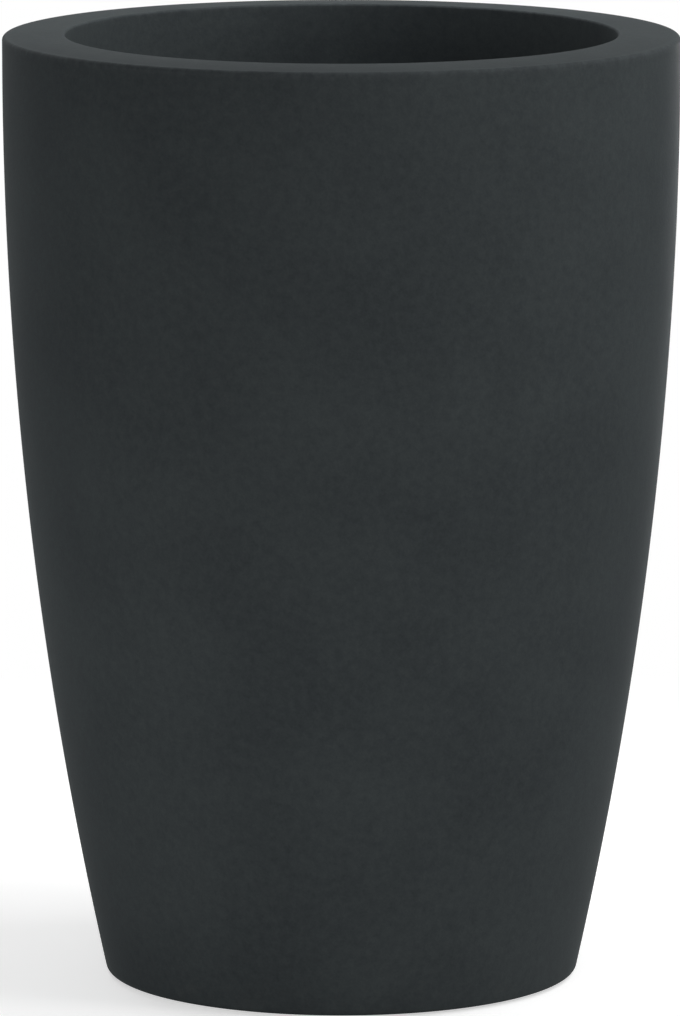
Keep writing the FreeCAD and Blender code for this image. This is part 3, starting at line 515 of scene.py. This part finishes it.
shell = grow("shell_wall", lathe_with_seats(), shell_loop, {
    "Rim radius": RIM_RADIUS, "Segments": SHELL_SEGMENTS, "Seat radius": PAD_SEAT_RADIUS,
    "Seat depth": PAD_SINK, "Seat circle": PAD_CIRCLE, "Seat count": PAD_COUNT,
    "Seat angle": PAD_FIRST_ANGLE, "Foot height": FOOT_Z, "Material": shell_plastic})
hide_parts("outer_shell")
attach(shell, "planter")

# %% [markdown]
# Finishes for the fittings
#
# Liner, handles, pipes and lid are injection moulded in a harder plastic than the shell. Its skin
# is smoother and a little glossy, with a fine even texture and faint marks where the piece was drawn
# out of its mould. One recipe serves them all with its own colours, because they share the process.
# The draw marks are a noise that a Mapping node stretches along the height.

# %% Make the moulded fittings' materials
ALONG_DRAW = (1, 1, 0.04)


def stretched(tree, place, stretch):
    """The place of each point, squeezed along some axes so that a noise is drawn out along them."""
    return result_of(tree, "ShaderNodeMapping", {"Vector": place, "Scale": stretch})


def make_moulded(name, dark, light, roughness):
    """Harder moulded plastic with drifting colour, fine texture and faint draw marks."""
    material, tree, shader, place = start_material(name)
    drift = noise(tree, place, size=35 * MM)
    mottle = noise(tree, place, size=3.5 * MM, detail=3)
    texture = noise(tree, place, size=0.6 * MM)
    draw_marks = noise(tree, stretched(tree, place, ALONG_DRAW), size=0.9 * MM)
    mixed = mixture(tree, (drift, 0.5), (mottle, 0.3), (draw_marks, 0.2))
    share = rescale(tree, mixed, (0.35, 0.65), (0, 1))
    lines = bump(tree, draw_marks, depth=0.02 * MM)
    fill(tree, shader, {
        "Base Color": blend_colours(tree, share, dark, light),
        "Roughness": rescale(tree, mottle, NOISE_BULK, roughness),
        "Specular IOR Level": 0.3,
        "Normal": bump(tree, texture, depth=0.025 * MM, under=lines)})
    return material


def dress(material, *names):
    """Gives the material to the slots of these solids."""
    for name in names:
        for slot in nodes[name].material_slots:
            slot.material = material
    print(material.name, "on", ", ".join(names))


liner_skin = make_moulded("liner_skin", colour(28, 30, 32), colour(40, 42, 45), (0.36, 0.50))
fitting_skin = make_moulded("fitting_skin", colour(90, 94, 97), colour(112, 116, 118), (0.38, 0.52))
lid_skin = make_moulded("lid_skin", colour(42, 84, 126), colour(58, 103, 146), (0.30, 0.44))
flag_skin = make_moulded("flag_skin", colour(168, 32, 27), colour(198, 46, 37), (0.30, 0.42))
dress(liner_skin, "planting_liner")
dress(fitting_skin, "separator_plate", "fill_shaft", "gauge_clip", "overflow_pipe")
dress(lid_skin, "fill_lid", "gauge_cap")
dress(flag_skin, "gauge_rod", "level_flag")

# %% [markdown]
# Clear tube, foam, rubber and steel
#
# The gauge tube is clear plastic: it lets light through, bends it like acrylic, and has hairline
# scratches from wiping. The float is a bead foam, so its skin shows packed cells, which a Voronoi
# pattern draws well. Rubber is dark, dull and grainy with a trace of dust. The hinge pin is drawn
# steel with fine lines along its length.

# %% Make the clear tube, the foam, the rubber and the steel
ALONG_TUBE = (1, 1, 0.02)
ALONG_PIN = (0.03, 1, 1)
BEAD_SIZE = 2.2 * MM
BEAD_BULK = (0.2, 0.8)


def make_clear_plastic():
    """Acrylic tube with hairline scratches along its height."""
    material, tree, shader, place = start_material("clear_tube")
    scratches = noise(tree, stretched(tree, place, ALONG_TUBE), size=0.5 * MM)
    haze = noise(tree, place, size=12 * MM, detail=3)
    fill(tree, shader, {
        "Base Color": blend_colours(tree, haze, colour(228, 240, 243), colour(240, 247, 248)),
        "Roughness": rescale(tree, haze, (0.35, 0.7), (0.03, 0.12)),
        "Transmission Weight": 1.0,
        "IOR": 1.49,
        "Normal": bump(tree, scratches, depth=0.004 * MM)})
    return material


def make_bead_foam():
    """White bead foam with its packed cells."""
    material, tree, shader, place = start_material("bead_foam")
    cells = result_of(tree, "ShaderNodeTexVoronoi", {"Vector": place, "Scale": 1 / BEAD_SIZE})
    drift = noise(tree, place, size=6 * MM, detail=3)
    share = calculate(tree, "MULTIPLY", rescale(tree, cells, BEAD_BULK, (1, 0)),
                      rescale(tree, drift, NOISE_BULK, (0.6, 1)))
    domes = rescale(tree, cells, (0.1, 0.8), (1, 0))
    fill(tree, shader, {
        "Base Color": blend_colours(tree, share, colour(204, 204, 197), colour(233, 233, 228)),
        "Roughness": rescale(tree, cells, BEAD_BULK, (0.5, 0.75)),
        "Normal": bump(tree, domes, depth=0.12 * MM)})
    return material


def make_rubber():
    """Dull dark rubber with a grain and a trace of dust."""
    material, tree, shader, place = start_material("soft_rubber")
    dust = noise(tree, place, size=5 * MM, detail=4)
    grain = noise(tree, place, size=0.5 * MM)
    share = rescale(tree, dust, (0.4, 0.75), (0, 1))
    fill(tree, shader, {
        "Base Color": blend_colours(tree, share, colour(24, 24, 25), colour(46, 46, 45)),
        "Roughness": rescale(tree, dust, NOISE_BULK, (0.72, 0.9)),
        "Specular IOR Level": 0.3,
        "Normal": bump(tree, grain, depth=0.03 * MM)})
    return material


def make_drawn_steel():
    """Bright drawn steel with lines along the pin."""
    material, tree, shader, place = start_material("drawn_steel")
    lines = noise(tree, stretched(tree, place, ALONG_PIN), size=0.15 * MM)
    tarnish = noise(tree, place, size=3 * MM, detail=3)
    fill(tree, shader, {
        "Base Color": blend_colours(tree, tarnish, colour(186, 187, 189), colour(158, 158, 157)),
        "Roughness": rescale(tree, lines, NOISE_BULK, (0.22, 0.4)),
        "Metallic": 1.0,
        "Normal": bump(tree, lines, depth=0.004 * MM)})
    return material


dress(make_clear_plastic(), "gauge_tube")
dress(make_bead_foam(), "gauge_float")
pads = [f"floor_pad_{number}" for number in range(1, PAD_COUNT + 1)]
dress(make_rubber(), "base_stopper", "pipe_grommet", *pads)
dress(make_drawn_steel(), "lid_hinge_pin")

# %% [markdown]
# Felt for the wicks
#
# Three felt columns carry water from the store up into the soil. Felt is soft, so the plain solids
# give way to new pieces. A turned column is pressed slightly uneven by a noise, always inward, which
# keeps it inside its hole in the plate. Loose fibres stand off the part that reaches into the soil:
# points are scattered on the surface with a fixed seed, and each gets one thin, tilted spike of a
# few faces.

# %% Make the felt
ALONG_STRANDS = (1, 1, 0.3)
WICK_SEGMENTS = 64
DENT_SIZE = 5 * MM
FIBRE_ROOT = 0.07 * MM
FIBRE_TIP = 0.015 * MM
FIBRE_SIDES = 3
FIBRE_TILT = 1.0
POLE_WELD = 0.01 * MM


def make_felt():
    """Pale pressed wool with darker strands."""
    material, tree, shader, place = start_material("wick_felt_wool")
    strands = noise(tree, stretched(tree, place, ALONG_STRANDS), size=0.5 * MM, detail=4)
    tufts = noise(tree, place, size=4 * MM, detail=4)
    share = rescale(tree, mixture(tree, (strands, 0.6), (tufts, 0.4)), (0.35, 0.65), (0, 1))
    fill(tree, shader, {
        "Base Color": blend_colours(tree, share, colour(138, 134, 124), colour(188, 184, 172)),
        "Roughness": rescale(tree, tufts, NOISE_BULK, (0.88, 1.0)),
        "Sheen Weight": 0.25,
        "Normal": bump(tree, strands, depth=0.15 * MM)})
    return material


def felt_column():
    """The tree that turns a column, presses it uneven and scatters loose fibres on its upper part."""
    sizes = {"Radius": "Float", "Place": "Vector", "Press": "Float", "Fibre length": "Float",
             "Fibres per area": "Float", "Fibres above": "Float", "Seed": "Int"}
    tree, given, result = start_tree("felt_column", sizes)
    plain = welded(tree, turned(tree, given["Geometry"], given["Radius"], WICK_SEGMENTS), POLE_WELD)
    placed = moved(tree, plain, given["Place"])
    place = result_of(tree, "GeometryNodeInputPosition")
    inward = calculate(tree, "MULTIPLY", given["Press"], -1)
    dents = calculate(tree, "MULTIPLY", noise(tree, place, size=DENT_SIZE, detail=3), inward)
    out = result_of(tree, "GeometryNodeInputNormal")
    shift = result_of(tree, "ShaderNodeVectorMath", {0: out, "Scale": dents}, operation="SCALE")
    column = result_of(tree, "GeometryNodeSetPosition", {"Geometry": placed, "Offset": shift})

    bare = result_of(tree, "FunctionNodeCompare", {0: split(tree, place)["Z"], 1: given["Fibres above"]},
                     operation="GREATER_THAN")
    roots = add_node(tree, "GeometryNodeDistributePointsOnFaces",
                     {"Mesh": column, "Selection": bare, "Density": given["Fibres per area"],
                      "Seed": given["Seed"]}).outputs
    spike = result_of(tree, "GeometryNodeMeshCone",
                      {"Vertices": FIBRE_SIDES, "Radius Top": FIBRE_TIP, "Radius Bottom": FIBRE_ROOT,
                       "Depth": given["Fibre length"]})
    tilt = result_of(tree, "FunctionNodeRandomValue",
                     {"Min": (-FIBRE_TILT, -FIBRE_TILT, 0), "Max": (FIBRE_TILT, FIBRE_TILT, 0),
                      "Seed": given["Seed"]}, data_type="FLOAT_VECTOR")
    turn = result_of(tree, "FunctionNodeRotateRotation",
                     {"Rotation": roots["Rotation"], "Rotate By": tilt}, rotation_space="LOCAL")
    fibres = result_of(tree, "GeometryNodeInstanceOnPoints",
                       {"Points": roots["Points"], "Instance": spike, "Rotation": turn})
    both = add_node(tree, "GeometryNodeJoinGeometry")
    for geometry in (column, fibres):
        tree.links.new(geometry, both.inputs["Geometry"])
    end_tree(tree, given, result, both.outputs["Geometry"])
    return tree


wool = make_felt()
felt_tree = felt_column()
print("made", wool.name, "and a felt tree of", len(felt_tree.nodes), "nodes")

# %% [markdown]
# Growing the wicks
#
# Each wick takes its place, radius and height from the solid that it replaces. Its outline has rings
# up the side and across the ends, so that the dents have points to move, and a rounded upper edge
# where the felt is cut. The seed differs from wick to wick, so no two have the same fibres.

# %% Grow the wicks
WICK_COUNT = 3
WICK_ROUND = 2 * MM
WICK_SIDE_STEPS = 40
WICK_END_RINGS = 5
WICK_PRESS = 0.5 * MM
WICK_FIRST_SEED = 21
FIBRE_LENGTH = 1.3 * MM
FIBRES_PER_AREA = 0.28 / MM ** 2
FIBRE_START = 2 * MM
PLATE_THICKNESS = 3 * MM
plate_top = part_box("separator_plate")[0].z + PLATE_THICKNESS


def column_outline(radius, foot, top):
    """From the axis along the foot, up the side, over a rounded edge and back to the axis."""
    side_top = top - WICK_ROUND
    rings = [radius * step / WICK_END_RINGS for step in range(1, WICK_END_RINGS)]
    points = [(ring, foot) for ring in [0] + rings]
    points += [(radius, foot + (side_top - foot) * step / WICK_SIDE_STEPS) for step in range(WICK_SIDE_STEPS)]
    points += arc((radius - WICK_ROUND, side_top), WICK_ROUND, 0, QUARTER_TURN, steps=6)
    points += [(ring, top) for ring in reversed(rings) if ring < radius - WICK_ROUND]
    return points + [(0, top)]


for number in range(1, WICK_COUNT + 1):
    low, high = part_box(f"wick_column_{number}")
    wick_radius = (high.x - low.x) / 2
    line = line_mesh("wick_outline", column_outline(wick_radius, low.z, high.z), wick_radius)
    wick = grow(f"wick_felt_{number}", felt_tree, line, {
        "Radius": wick_radius, "Place": ((low.x + high.x) / 2, (low.y + high.y) / 2, 0),
        "Press": WICK_PRESS, "Fibre length": FIBRE_LENGTH, "Fibres per area": FIBRES_PER_AREA,
        "Fibres above": plate_top + FIBRE_START, "Seed": WICK_FIRST_SEED + number - 1, "Material": wool})
    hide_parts(f"wick_column_{number}")
    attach(wick, "liner")

# %% [markdown]
# Level marks on the gauge
#
# The gauge is read by where the red flag stands between dark bands on the clear tube. The bands
# repeat at an even step over the float's travel, so a line of points carries one ring each. They lie
# a hair outside the tube, as a printed band does.

# %% Print the level marks
TUBE_RADIUS = 10 * MM
MARK_COUNT = 5
MARK_THICK = 0.15 * MM
MARK_HEIGHT = 0.9 * MM
MARK_GAP = 0.01 * MM
MARK_SEGMENTS = 64


def level_marks():
    """The tree that repeats a thin ring up a tube."""
    sizes = {"Count": "Int", "Step": "Float", "Radius": "Float", "Band thickness": "Float",
             "Band height": "Float", "First mark": "Vector"}
    tree, given, result = start_tree("level_marks", sizes)
    spots = result_of(tree, "GeometryNodeMeshLine",
                      {"Count": given["Count"], "Start Location": given["First mark"],
                       "Offset": vector(tree, Z=given["Step"])})
    path = result_of(tree, "GeometryNodeCurvePrimitiveCircle",
                     {"Resolution": MARK_SEGMENTS, "Radius": given["Radius"]})
    section = result_of(tree, "GeometryNodeCurvePrimitiveQuadrilateral",
                        {"Width": given["Band thickness"], "Height": given["Band height"]})
    ring = result_of(tree, "GeometryNodeCurveToMesh", {"Curve": path, "Profile Curve": section})
    rings = result_of(tree, "GeometryNodeInstanceOnPoints", {"Points": spots, "Instance": ring})
    end_tree(tree, given, result, rings)
    return tree


flag_low, flag_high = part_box("level_flag")
flag_middle = (flag_low + flag_high) / 2
float_travel = joints["float_rise"]["range_m"][1]
marks = grow("gauge_marks", level_marks(), bpy.data.meshes.new("no_start"), {
    "Count": MARK_COUNT, "Step": float_travel / (MARK_COUNT - 1),
    "Radius": TUBE_RADIUS + MARK_THICK / 2 + MARK_GAP, "Band thickness": MARK_THICK,
    "Band height": MARK_HEIGHT, "First mark": flag_middle, "Material": liner_skin})
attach(marks, "liner")

# %% [markdown]
# Carrying handles
#
# Each handle is a half ring of plastic with a wider grip in its middle, an eye at each end, and a
# short trunnion that turns in the liner's lug. The bow follows an arc, so a rounded section is swept
# along it, and a second rule draws its inner side further in around the middle to make the grip.
# The ends are turned like the wicks and joined to the bow by one boolean, which leaves a single
# closed skin. The joint says where the handle's pivot lies.

# %% Sweep the handles
BOW_INNER = 152.65 * MM
BOW_OUTER = 159.6 * MM
BOW_HEIGHT = 8 * MM
BOW_ROUND = 2.5 * MM
BOW_SWEEP = math.radians(168.236)
BOW_STEPS = 181
BOW_ROUND_STEPS = 6
GRIP_DEPTH = 4 * MM
GRIP_ANGLE = math.radians(50)
GRIP_SHOULDER = math.radians(2)
TRUNNION_START = 147.5 * MM
TRUNNION_RADIUS = 2.5 * MM
EYE_START = 151.2 * MM
EYE_RADIUS = 5.5 * MM
EYE_ROUND = 0.5 * MM
EYE_SEGMENTS = 48
FRONT, REAR = -1, 1
HANDLES = (("front_handle", FRONT), ("rear_handle", REAR))


def handle_end_outline(span):
    """From the axis up the trunnion, out to the eye, along it and back to the axis."""
    shoulder = EYE_START - TRUNNION_START
    across = EYE_RADIUS - EYE_ROUND
    points = [(0, 0), (TRUNNION_RADIUS, 0), (TRUNNION_RADIUS, shoulder)]
    points += arc((across, shoulder + EYE_ROUND), EYE_ROUND, -QUARTER_TURN, 0, steps=4)
    points += arc((across, span - EYE_ROUND), EYE_ROUND, 0, QUARTER_TURN, steps=4)
    return points + [(0, span)]


def swept_bow(tree, given):
    """A rounded section carried along the handle's arc."""
    half_sweep = calculate(tree, "MULTIPLY", given["Sweep"], 0.5)
    path = result_of(tree, "GeometryNodeCurveArc",
                     {"Resolution": BOW_STEPS, "Radius": given["Bow radius"], "Sweep Angle": given["Sweep"],
                      "Start Angle": calculate(tree, "SUBTRACT", given["Middle angle"], half_sweep)})
    corners = result_of(tree, "GeometryNodeCurvePrimitiveQuadrilateral",
                        {"Width": given["Bow width"], "Height": given["Bow height"]})
    section = result_of(tree, "GeometryNodeFilletCurve",
                        {"Curve": corners, "Count": BOW_ROUND_STEPS, "Radius": given["Edge round"]},
                        mode="POLY")
    return result_of(tree, "GeometryNodeCurveToMesh",
                     {"Curve": path, "Profile Curve": section, "Fill Caps": True})


def drawn_grip(tree, given, bar):
    """The bow with its inner side drawn further in around the middle."""
    flat = flattened(tree, result_of(tree, "GeometryNodeInputPosition"))
    outward = result_of(tree, "ShaderNodeVectorMath", {0: flat}, operation="NORMALIZE")
    parts = split(tree, flat)
    angle = calculate(tree, "ARCTAN2", parts["Y"], parts["X"])
    turn = calculate(tree, "ABSOLUTE", calculate(tree, "SUBTRACT", angle, given["Middle angle"]))
    half_grip = calculate(tree, "MULTIPLY", given["Grip angle"], 0.5)
    full_depth = calculate(tree, "SUBTRACT", half_grip, given["Grip shoulder"])
    depth = rescale(tree, turn, (full_depth, half_grip), (given["Grip depth"], 0.0),
                    interpolation_type="SMOOTHSTEP")
    inner = calculate(tree, "LESS_THAN", length(tree, flat), given["Bow radius"])
    pull = calculate(tree, "MULTIPLY", calculate(tree, "MULTIPLY", depth, inner), -1)
    shift = result_of(tree, "ShaderNodeVectorMath", {0: outward, "Scale": pull}, operation="SCALE")
    return result_of(tree, "GeometryNodeSetPosition", {"Geometry": bar, "Offset": shift})


def carrying_handle():
    """The tree that sweeps a bow, draws in its grip and joins a turned end to each side."""
    labels = ("Bow radius", "Bow width", "Bow height", "Edge round", "Sweep", "Middle angle", "Grip depth",
              "Grip angle", "Grip shoulder", "Pivot height", "Pivot side", "End radius", "End start")
    tree, given, result = start_tree("carrying_handle", {label: "Float" for label in labels})
    bow = drawn_grip(tree, given, swept_bow(tree, given))
    pieces = [moved(tree, bow, vector(tree, Z=given["Pivot height"]))]
    end = welded(tree, turned(tree, given["Geometry"], given["End radius"], EYE_SEGMENTS), POLE_WELD)
    for side in (1, -1):
        across = calculate(tree, "MULTIPLY", given["End start"], side)
        spot = vector(tree, X=across, Y=given["Pivot side"], Z=given["Pivot height"])
        pieces.append(moved(tree, end, spot, (0, side * QUARTER_TURN, 0)))
    joined = add_node(tree, "GeometryNodeMeshBoolean", operation="UNION", solver="EXACT")
    for piece in pieces:
        tree.links.new(piece, joined.inputs["Mesh 2"])
    end_tree(tree, given, result, joined.outputs["Mesh"])
    return tree


handle_tree = carrying_handle()
for handle, side in HANDLES:
    pivot = Vector(joints[f"{handle}_swing"]["pos_m"])
    eye_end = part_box(handle)[1].x
    end_line = line_mesh("handle_end", handle_end_outline(eye_end - TRUNNION_START), EYE_RADIUS)
    bow = grow(f"{handle}_bow", handle_tree, end_line, {
        "Bow radius": (BOW_INNER + BOW_OUTER) / 2, "Bow width": BOW_OUTER - BOW_INNER,
        "Bow height": BOW_HEIGHT, "Edge round": BOW_ROUND, "Sweep": BOW_SWEEP,
        "Middle angle": side * QUARTER_TURN, "Grip depth": GRIP_DEPTH, "Grip angle": GRIP_ANGLE,
        "Grip shoulder": GRIP_SHOULDER, "Pivot height": pivot.z, "Pivot side": pivot.y,
        "End radius": EYE_RADIUS, "End start": TRUNNION_START, "Material": liner_skin})
    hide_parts(handle)
    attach(bow, handle)

# %% [markdown]
# Ribs on the grips
#
# A wet hand slips on smooth plastic, so the middle of each handle carries short raised ribs. They
# follow the handle's arc, one every few degrees. An arc curve gives the points, each point's own
# angle turns its rib to lie across the grip, and a flattened ball is enough for a rib this small.

# %% Raise the ribs
RIB_COUNT = 21
RIB_SIZE = (2.7 * MM, 0.85 * MM, 0.9 * MM)
RIB_SINK = 0.35 * MM
RIB_SWEEP = math.radians(34)
BALL_SEGMENTS = 12
BALL_RINGS = 6
GRIP_RADIUS = (BOW_INNER - GRIP_DEPTH + BOW_OUTER) / 2


def grip_ribs():
    """The tree that lays flattened balls across an arc."""
    sizes = {"Count": "Int", "Radius": "Float", "First angle": "Float", "Sweep": "Float",
             "Height": "Float", "Rib size": "Vector"}
    tree, given, result = start_tree("grip_ribs", sizes)
    middle_line = result_of(tree, "GeometryNodeCurveArc",
                            {"Resolution": given["Count"], "Radius": given["Radius"],
                             "Start Angle": given["First angle"], "Sweep Angle": given["Sweep"]})
    raised = moved(tree, middle_line, vector(tree, Z=given["Height"]))
    parts = split(tree, result_of(tree, "GeometryNodeInputPosition"))
    turn = vector(tree, Z=calculate(tree, "ARCTAN2", parts["Y"], parts["X"]))
    ball = result_of(tree, "GeometryNodeMeshUVSphere",
                     {"Segments": BALL_SEGMENTS, "Rings": BALL_RINGS, "Radius": 1.0})
    ribs = result_of(tree, "GeometryNodeInstanceOnPoints",
                     {"Points": raised, "Instance": ball, "Rotation": turn, "Scale": given["Rib size"]})
    end_tree(tree, given, result, ribs)
    return tree


rib_tree = grip_ribs()
for handle, side in HANDLES:
    grip_top = joints[f"{handle}_swing"]["pos_m"][2] + BOW_HEIGHT / 2
    ribs = grow(f"{handle}_ribs", rib_tree, bpy.data.meshes.new("no_start"), {
        "Count": RIB_COUNT, "Radius": GRIP_RADIUS, "First angle": side * QUARTER_TURN - RIB_SWEEP / 2,
        "Sweep": RIB_SWEEP, "Height": grip_top - RIB_SINK, "Rib size": RIB_SIZE, "Material": liner_skin})
    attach(ribs, handle)

# %% [markdown]
# Floor and backdrop
#
# A plain pale floor carries the pot. To the camera, and in reflections, floor and backdrop are
# white, and the floor keeps the pot's soft shadow: near the pot it is lit like any matt floor and
# glows a little, and further off it is plain white. To all other light the floor is plainly pale, so
# it bounces a natural amount up the wall.

# %% Make the floor and the backdrop
FLOOR_RADIUS = 9.0
FLOOR_SEGMENTS = 128
FLOOR_GAP = 0.1 * MM
SHADOW_REACH = 0.30
WHITE_FROM = 1.0
NEAR_GLOW = 0.55
WORLD_LIGHT = 0.02
PALE = (0.8, 0.8, 0.8, 1)
WHITE = (1, 1, 1, 1)


def seen_directly(tree):
    """1 for rays from the camera, from gloss and through clear plastic, and 0 for all others."""
    ray = add_node(tree, "ShaderNodeLightPath").outputs
    mirrored = calculate(tree, "MAXIMUM", ray["Is Glossy Ray"], ray["Is Transmission Ray"])
    return calculate(tree, "MAXIMUM", ray["Is Camera Ray"], mirrored)


def blend_shaders(tree, share, first, second):
    """The first shader where share is 0 and the second where it is 1."""
    return result_of(tree, "ShaderNodeMixShader", {0: share, 1: first, 2: second})


def make_floor_paint():
    """Pale to the light, white with a soft shadow to the camera."""
    material, tree, plain_shader, place = start_material("floor_paint")
    tree.nodes.remove(plain_shader)
    far = rescale(tree, length(tree, place), (SHADOW_REACH, WHITE_FROM), (0, 1))
    pale = result_of(tree, "ShaderNodeBsdfDiffuse", {"Color": PALE})
    glow = result_of(tree, "ShaderNodeEmission", {"Color": WHITE, "Strength": NEAR_GLOW})
    white = result_of(tree, "ShaderNodeEmission", {"Color": WHITE, "Strength": 1.0})
    near_look = result_of(tree, "ShaderNodeAddShader", {0: pale, 1: glow})
    look = blend_shaders(tree, far, near_look, white)
    surface = blend_shaders(tree, seen_directly(tree), pale, look)
    fill(tree, tree.nodes["Material Output"], {"Surface": surface})
    return material


def make_floor():
    """A wide flat disc under the pot."""
    mesh = bpy.data.meshes.new("floor")
    disc = bmesh.new()
    bmesh.ops.create_circle(disc, cap_ends=True, segments=FLOOR_SEGMENTS, radius=FLOOR_RADIUS,
                            matrix=Matrix.Translation((0, 0, -FLOOR_GAP)))
    disc.to_mesh(mesh)
    disc.free()
    mesh.materials.append(make_floor_paint())
    floor = bpy.data.objects.new("floor", mesh)
    scene.collection.objects.link(floor)


def make_world():
    """A white backdrop that lends the pot only a little even light."""
    world = bpy.data.worlds.new("backdrop")
    scene.world = world
    world.use_nodes = True
    tree = world.node_tree
    tree.nodes.remove(tree.nodes["Background"])
    dim = result_of(tree, "ShaderNodeBackground", {"Color": WHITE, "Strength": WORLD_LIGHT})
    white = result_of(tree, "ShaderNodeBackground", {"Color": WHITE, "Strength": 1.0})
    surface = blend_shaders(tree, seen_directly(tree), dim, white)
    fill(tree, tree.nodes["World Output"], {"Surface": surface})


make_floor()
make_world()
print("floor radius", FLOOR_RADIUS, "m")

# %% [markdown]
# Studio light
#
# A wide soft box hangs overhead and a smaller one stands high on the right, and together they make
# the rim the palest face. A small one close above the rim lifts its far left. A tall one on the right
# grades the wall from dark on the left to light on the right, and reaches the left half of the
# throat. One in front fills the wall, a low strip on the left lifts the foot, and one behind on the
# left keeps that edge from sinking. One stands behind and lower than the rim, so it shows the back
# and leaves the rim alone. The last hangs over the pot and is turned to the back, so that it lights
# the far side of the rim and not the near side. The camera doesn't see any of them.

# %% Set the lights
def soft_box(name, place, target, size, watts):
    """A rectangular lamp of the given width and height that faces a target."""
    lamp = bpy.data.lights.new(name, "AREA")
    lamp.shape = "RECTANGLE"
    lamp.size, lamp.size_y = size
    lamp.energy = watts
    holder = bpy.data.objects.new(name, lamp)
    holder.location = place
    holder.rotation_euler = (Vector(target) - Vector(place)).to_track_quat("-Z", "Y").to_euler()
    holder.visible_camera = False
    scene.collection.objects.link(holder)
    print(name, "gives", watts, "W")


soft_box("overhead_box", place=(0.2, 0.1, 2.4), target=(0, 0, 0.5), size=(1.8, 1.8), watts=11.0)
soft_box("right_high_box", place=(1.1, 0.2, 1.7), target=(0, 0, 0.5), size=(0.8, 0.8), watts=10.9)
soft_box("left_rim_box", place=(-0.5, 0.35, 1.0), target=(-0.1, 0.1, 0.56), size=(0.3, 0.3), watts=1.6)
soft_box("right_box", place=(2.2, -1.0, 1.3), target=(0, 0, 0.3), size=(1.0, 1.6), watts=26.5)
soft_box("front_box", place=(-0.4, -3.0, 1.0), target=(0, 0, 0.3), size=(1.6, 1.2), watts=23.5)
soft_box("left_low_box", place=(-0.65, -0.45, 0.08), target=(0, 0, 0.12), size=(0.8, 0.12), watts=1.15)
soft_box("left_back_box", place=(-2.2, 1.2, 1.0), target=(0, 0, 0.3), size=(1.0, 1.6), watts=2.0)
soft_box("back_low_box", place=(0.4, 2.6, 0.29), target=(0, 0, 0.29), size=(2.0, 0.5), watts=24)
soft_box("far_rim_box", place=(0.2, 0, 1.3), target=(-0.02, 0.96, 1.13), size=(0.3, 0.3), watts=5.2)
scene.view_settings.view_transform = "Standard"
